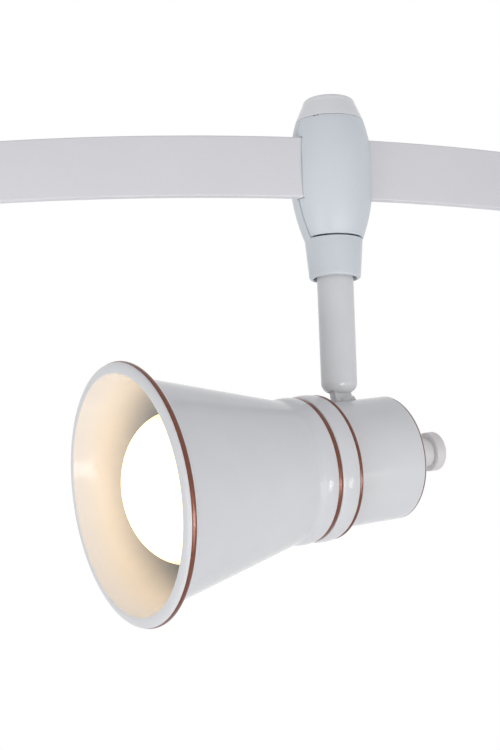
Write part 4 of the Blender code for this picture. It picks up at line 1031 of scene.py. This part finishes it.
def lamp():
    glass = turned("lamp_glass", bulb(0.0) + bulb(LAMP_WALL)[::-1], LAMP)
    dressed(glass, "head", "frosted_glass")
    outline = [(0, 11.2), (6.6, 11.2, 0.4)]
    outline += [(LAMP_CAP_RADIUS, height) for height in (*spaced(16.4, 33.0, 60), 33.2)]
    outline += [(12.6, 33.2), (12.6, 17.0), (6.6, 11.8), (0, 11.8)]
    cap = turned("lamp_cap", outline, LAMP, segments=96, thread=LAMP_THREAD)
    dressed(cap, "head", "nickel")
    outline = [(0, 8.2), (1.6, 8.3, 0.5), (2.8, 9.6, 0.6), (2.8, 10.9, 0.2), (0, 10.9)]
    dressed(turned("lamp_tip", outline, LAMP, segments=48), "head", "nickel")


def back_screw_seat(side):
    return LAMP @ Matrix.Translation((0, side * BACK_SCREW_OUT * MM, 0))


def lampholder():
    outline = [(0, 5.2), (14.2, 5.2), (14.2, 27.7, 0.5), (17.6, 27.7, 0.9), (17.6, -13.2, 0.6)]
    outline += [(2.6, -13.2), (2.6, -6.9), (0, -6.9)]
    dressed(turned("lampholder", outline, LAMP, segments=96), "head", "porcelain")
    outline = [(13.5, 27.4, 0.1), (13.9, 27.4, 0.1), (13.9, 5.5), (13.5, 5.5)]
    dressed(turned("holder_screw_shell", outline, LAMP, segments=96), "head", "brass")
    outline = [(0, 7.9), (3.0, 7.9, 0.5), (3.0, 5.5, 0.2), (0, 5.5)]
    dressed(turned("holder_contact", outline, LAMP, segments=48), "head", "brass")
    inside = BRACKET_RADIUS - BRACKET_WALL
    ears, back, front = -6.0, -15.0, -15.0 + BRACKET_WALL
    outline = [(-BRACKET_RADIUS, ears), (-BRACKET_RADIUS, back), (BRACKET_RADIUS, back)]
    outline += [(BRACKET_RADIUS, ears), (inside, ears), (inside, front), (-inside, front)]
    outline += [(-inside, ears)]
    strap = plate("holder_bracket", outline, 0, -7, 7, LAMP)
    carved(strap, turned("room", rod(BRACKET_RADIUS, 3, -24), LAMP), "INTERSECT")
    carved(strap, turned("rivet_hole", rod(2.6, -6, -24), LAMP, segments=40))
    for side in (-1, 1):
        carved(strap, turned("screw_hole", BACK_SCREW_HOLE, back_screw_seat(side), segments=40))
    dressed(broken_edges(strap), "head", "zinc_steel")
    outline = headed(top=-16.5, seat=-15.3, head=4.0, shank=2.3, end=-7.2, crown=0.8)
    dressed(turned("holder_rivet", outline, LAMP, segments=40), "head", "zinc_steel")


def back_cover():
    outline = [(radius, dome(radius)) for radius in spaced(DOME_HOLE, DOME_EDGE, 40)]
    outline[-1] = (*outline[-1], 0.2)
    outline += [(DOME_EDGE + 0.1, -18.8), (24.0, -18.8), (24.0, -15.3, 0.3), (22.5, -15.3, 0.3)]
    outline += [(22.5, -18.75), (14.3, -18.75)]
    outline += [(radius, dome(radius, DOME_WALL)) for radius in spaced(14.3, DOME_HOLE, 12)]
    cover = turned("back_cover", outline, LAMP)
    outline = headed(top=-21.65, seat=-20.25, head=2.6, shank=1.4, end=-13.5)
    for name, side in (("left", -1), ("right", 1)):
        place = back_screw_seat(side)
        carved(cover, turned("screw_hole", BACK_SCREW_HOLE, place, segments=40))
        screw = turned(f"back_screw_{name}", outline, place, segments=48)
        carved(screw, block("slot", (-5, -SLOT_HALF, -34), (5, SLOT_HALF, -20.95), place))
        dressed(screw, "head", "zinc_steel")
    dressed(cover, "head", "white_enamel")


def switch():
    outline = [(0, -17.05), (8.5, -17.05, 0.4), (8.5, -24.25, 0.3), (4.0, -24.25)]
    outline += [(4.0, -38.4, 0.3), (2.8, -38.4, 0.2), (2.8, -20.65), (0, -20.65)]
    dressed(turned("switch_body", outline, LAMP, segments=64), "head", "black_thermoset")
    outline = [(4.3, -27.1), (6.3, -27.1, 0.3), (6.3, -38.9, 0.3), (4.3, -38.9, 0.2)]
    dressed(turned("switch_sleeve", outline, LAMP, segments=96), "head", "knob_plastic")
    outline = [(0, -20.95), (2.5, -20.95, 0.3), (2.5, -42.4, 0.4), (0, -42.4)]
    dressed(turned("knob_spindle", outline, LAMP, segments=40), "knob", "zinc_steel")
    outline = [(0, -42.7), (2.8, -42.7), (2.8, -39.0, 0.2), (8.5, -39.0, 0.6)]
    outline += oval((7.1, -42.8), 1.4, 1.4, 0, -90, 12) + [(0, -44.2)]
    dressed(turned("switch_knob", outline, LAMP, segments=96), "knob", "knob_plastic")


# Stage, light and camera, in metres, with the lens and its sensor in mm

SKY_TINT = (0.96, 0.94, 1.0, 1.0)
GROUND_TINT = (1.0, 1.0, 0.96, 1.0)
ROUND_LIGHT = 0.6
BACKGROUND = 1.0
FLOOR_GLOW = 0.38
FLOOR_RADIUS = 2.2
FLOOR_LEVEL = -0.95
LIGHT_AIM = Vector((0.0, 0.006, -0.128))
# name: azimuth from the front towards the right, elevation, distance and size in m, power in W
PANELS = {
    "front panel": (14, -31, 0.85, (0.5, 0.5), 2.2),
    "left panel": (-65, -22, 1.0, (0.45, 0.45), 2.3),
}
# two lamps at the front and the panes of a far window, which only show as glints
GLINTS = {
    "front lamp": (-9, -35, 1.29, (0.36, 0.4), 3.4),
    "small lamp": (3, -26, 0.45, (0.08, 0.08), 0.35),
    "left pane": (45, -22, 0.85, (0.045, 0.2), 0.6),
    "right pane": (51, -22, 0.85, (0.045, 0.2), 0.5),
}
CAMERA_LENS = 72.0
CAMERA_SENSOR = 36.0
CAMERA_AT = (-0.192508, -0.597059, -0.178206)
CAMERA_RIGHT = Vector((0.96971754, -0.24246849, -0.0292732))
CAMERA_UP = Vector((-0.0064332, -0.14517698, 0.98938479))
CAMERA_AHEAD = Vector((0.24414443, 0.95923546, 0.14234051))


def shown(tree):
    """1 where a ray comes straight from the camera, or through or off a piece."""
    path = add(tree, "ShaderNodeLightPath")
    seen = add(tree, "ShaderNodeMath", {
        0: (path, "Is Camera Ray"), 1: (path, "Is Glossy Ray"),
    }, operation="MAXIMUM")
    seen = add(tree, "ShaderNodeMath", {
        0: (seen, "Value"), 1: (path, "Is Transmission Ray"),
    }, operation="MAXIMUM")
    return (seen, "Value")


def backdrop():
    """Soft light from all round, and white where a ray shows it."""
    world = bpy.data.worlds.new("studio")
    bpy.context.scene.world = world
    world.use_nodes = True
    tree = world.node_tree
    tree.nodes.clear()
    around = add(tree, "ShaderNodeTexCoord")
    way = add(tree, "ShaderNodeSeparateXYZ", {"Vector": (around, "Generated")})
    rise = add(tree, "ShaderNodeMapRange", {
        "Value": (way, "Z"), "From Min": -0.6, "From Max": 0.6,
    }, interpolation_type="SMOOTHSTEP")
    sky = add(tree, "ShaderNodeBackground", {"Color": SKY_TINT, "Strength": ROUND_LIGHT})
    ground = add(tree, "ShaderNodeBackground", {"Color": GROUND_TINT, "Strength": ROUND_LIGHT})
    soft = add(tree, "ShaderNodeMixShader", {
        0: (rise, "Result"), 1: (ground, "Background"), 2: (sky, "Background"),
    })
    white = add(tree, "ShaderNodeBackground", {
        "Color": linear("#FFFFFF"), "Strength": BACKGROUND,
    })
    mix = add(tree, "ShaderNodeMixShader", {
        0: shown(tree), 1: (soft, "Shader"), 2: (white, "Background"),
    })
    add(tree, "ShaderNodeOutputWorld", {"Surface": (mix, "Shader")})


def ground():
    bm = bmesh.new()
    bmesh.ops.create_circle(bm, cap_ends=True, radius=FLOOR_RADIUS, segments=96)
    bmesh.ops.translate(bm, verts=bm.verts, vec=(0, 0, FLOOR_LEVEL))
    floor = piece("floor", bm, Matrix.Identity(4))
    material, tree, here = surface("matt white floor")
    grain = add(tree, "ShaderNodeTexNoise", {"Vector": here, "Scale": per_mm(40), "Detail": 3.0})
    tone = add(tree, "ShaderNodeMix", {
        SHARE: (grain, "Fac"), FIRST: linear("#F1F1F1"), SECOND: linear("#F7F7F7"),
    }, data_type="RGBA")
    glow = add(tree, "ShaderNodeMath", {0: shown(tree), 1: FLOOR_GLOW}, operation="MULTIPLY")
    shader = add(tree, "ShaderNodeBsdfPrincipled", {
        "Base Color": (tone, MIXED), "Roughness": 0.9,
        "Emission Color": linear("#FFFFFF"), "Emission Strength": (glow, "Value"),
    })
    add(tree, "ShaderNodeOutputMaterial", {"Surface": (shader, "BSDF")})
    floor.data.materials.append(material)


def lights():
    for name, (azimuth, elevation, distance, size, power) in (PANELS | GLINTS).items():
        turn = math.radians(azimuth)
        rise = math.radians(elevation)
        level = math.cos(rise)
        out = Vector((math.sin(turn) * level, -math.cos(turn) * level, math.sin(rise)))
        panel = bpy.data.lights.new(name, "AREA")
        panel.shape = "RECTANGLE"
        panel.size, panel.size_y = size
        panel.energy = power
        holder = bpy.data.objects.new(name, panel)
        bpy.context.scene.collection.objects.link(holder)
        holder.location = LIGHT_AIM + out * distance
        holder.rotation_euler = out.to_track_quat("Z", "Y").to_euler()
        holder.visible_camera = False
        holder.visible_diffuse = name in PANELS


def camera():
    """The place and lens that the photograph was taken from."""
    optics = bpy.data.cameras.new("camera")
    optics.lens = CAMERA_LENS
    optics.sensor_width = CAMERA_SENSOR
    optics.clip_start = 0.01
    seat = bpy.data.objects.new("camera", optics)
    bpy.context.scene.collection.objects.link(seat)
    turn = Matrix((CAMERA_RIGHT, CAMERA_UP, -CAMERA_AHEAD)).transposed()
    seat.matrix_world = Matrix.Translation(CAMERA_AT) @ turn.to_4x4()
    bpy.context.scene.camera = seat


bpy.context.scene.view_settings.view_transform = "Standard"
rail()
adapter()
front_cover()
contacts()
stem()
tongue()
housing()
shade()
lamp()
lampholder()
back_cover()
switch()
backdrop()
ground()
lights()
camera()

bpy.context.view_layer.update()
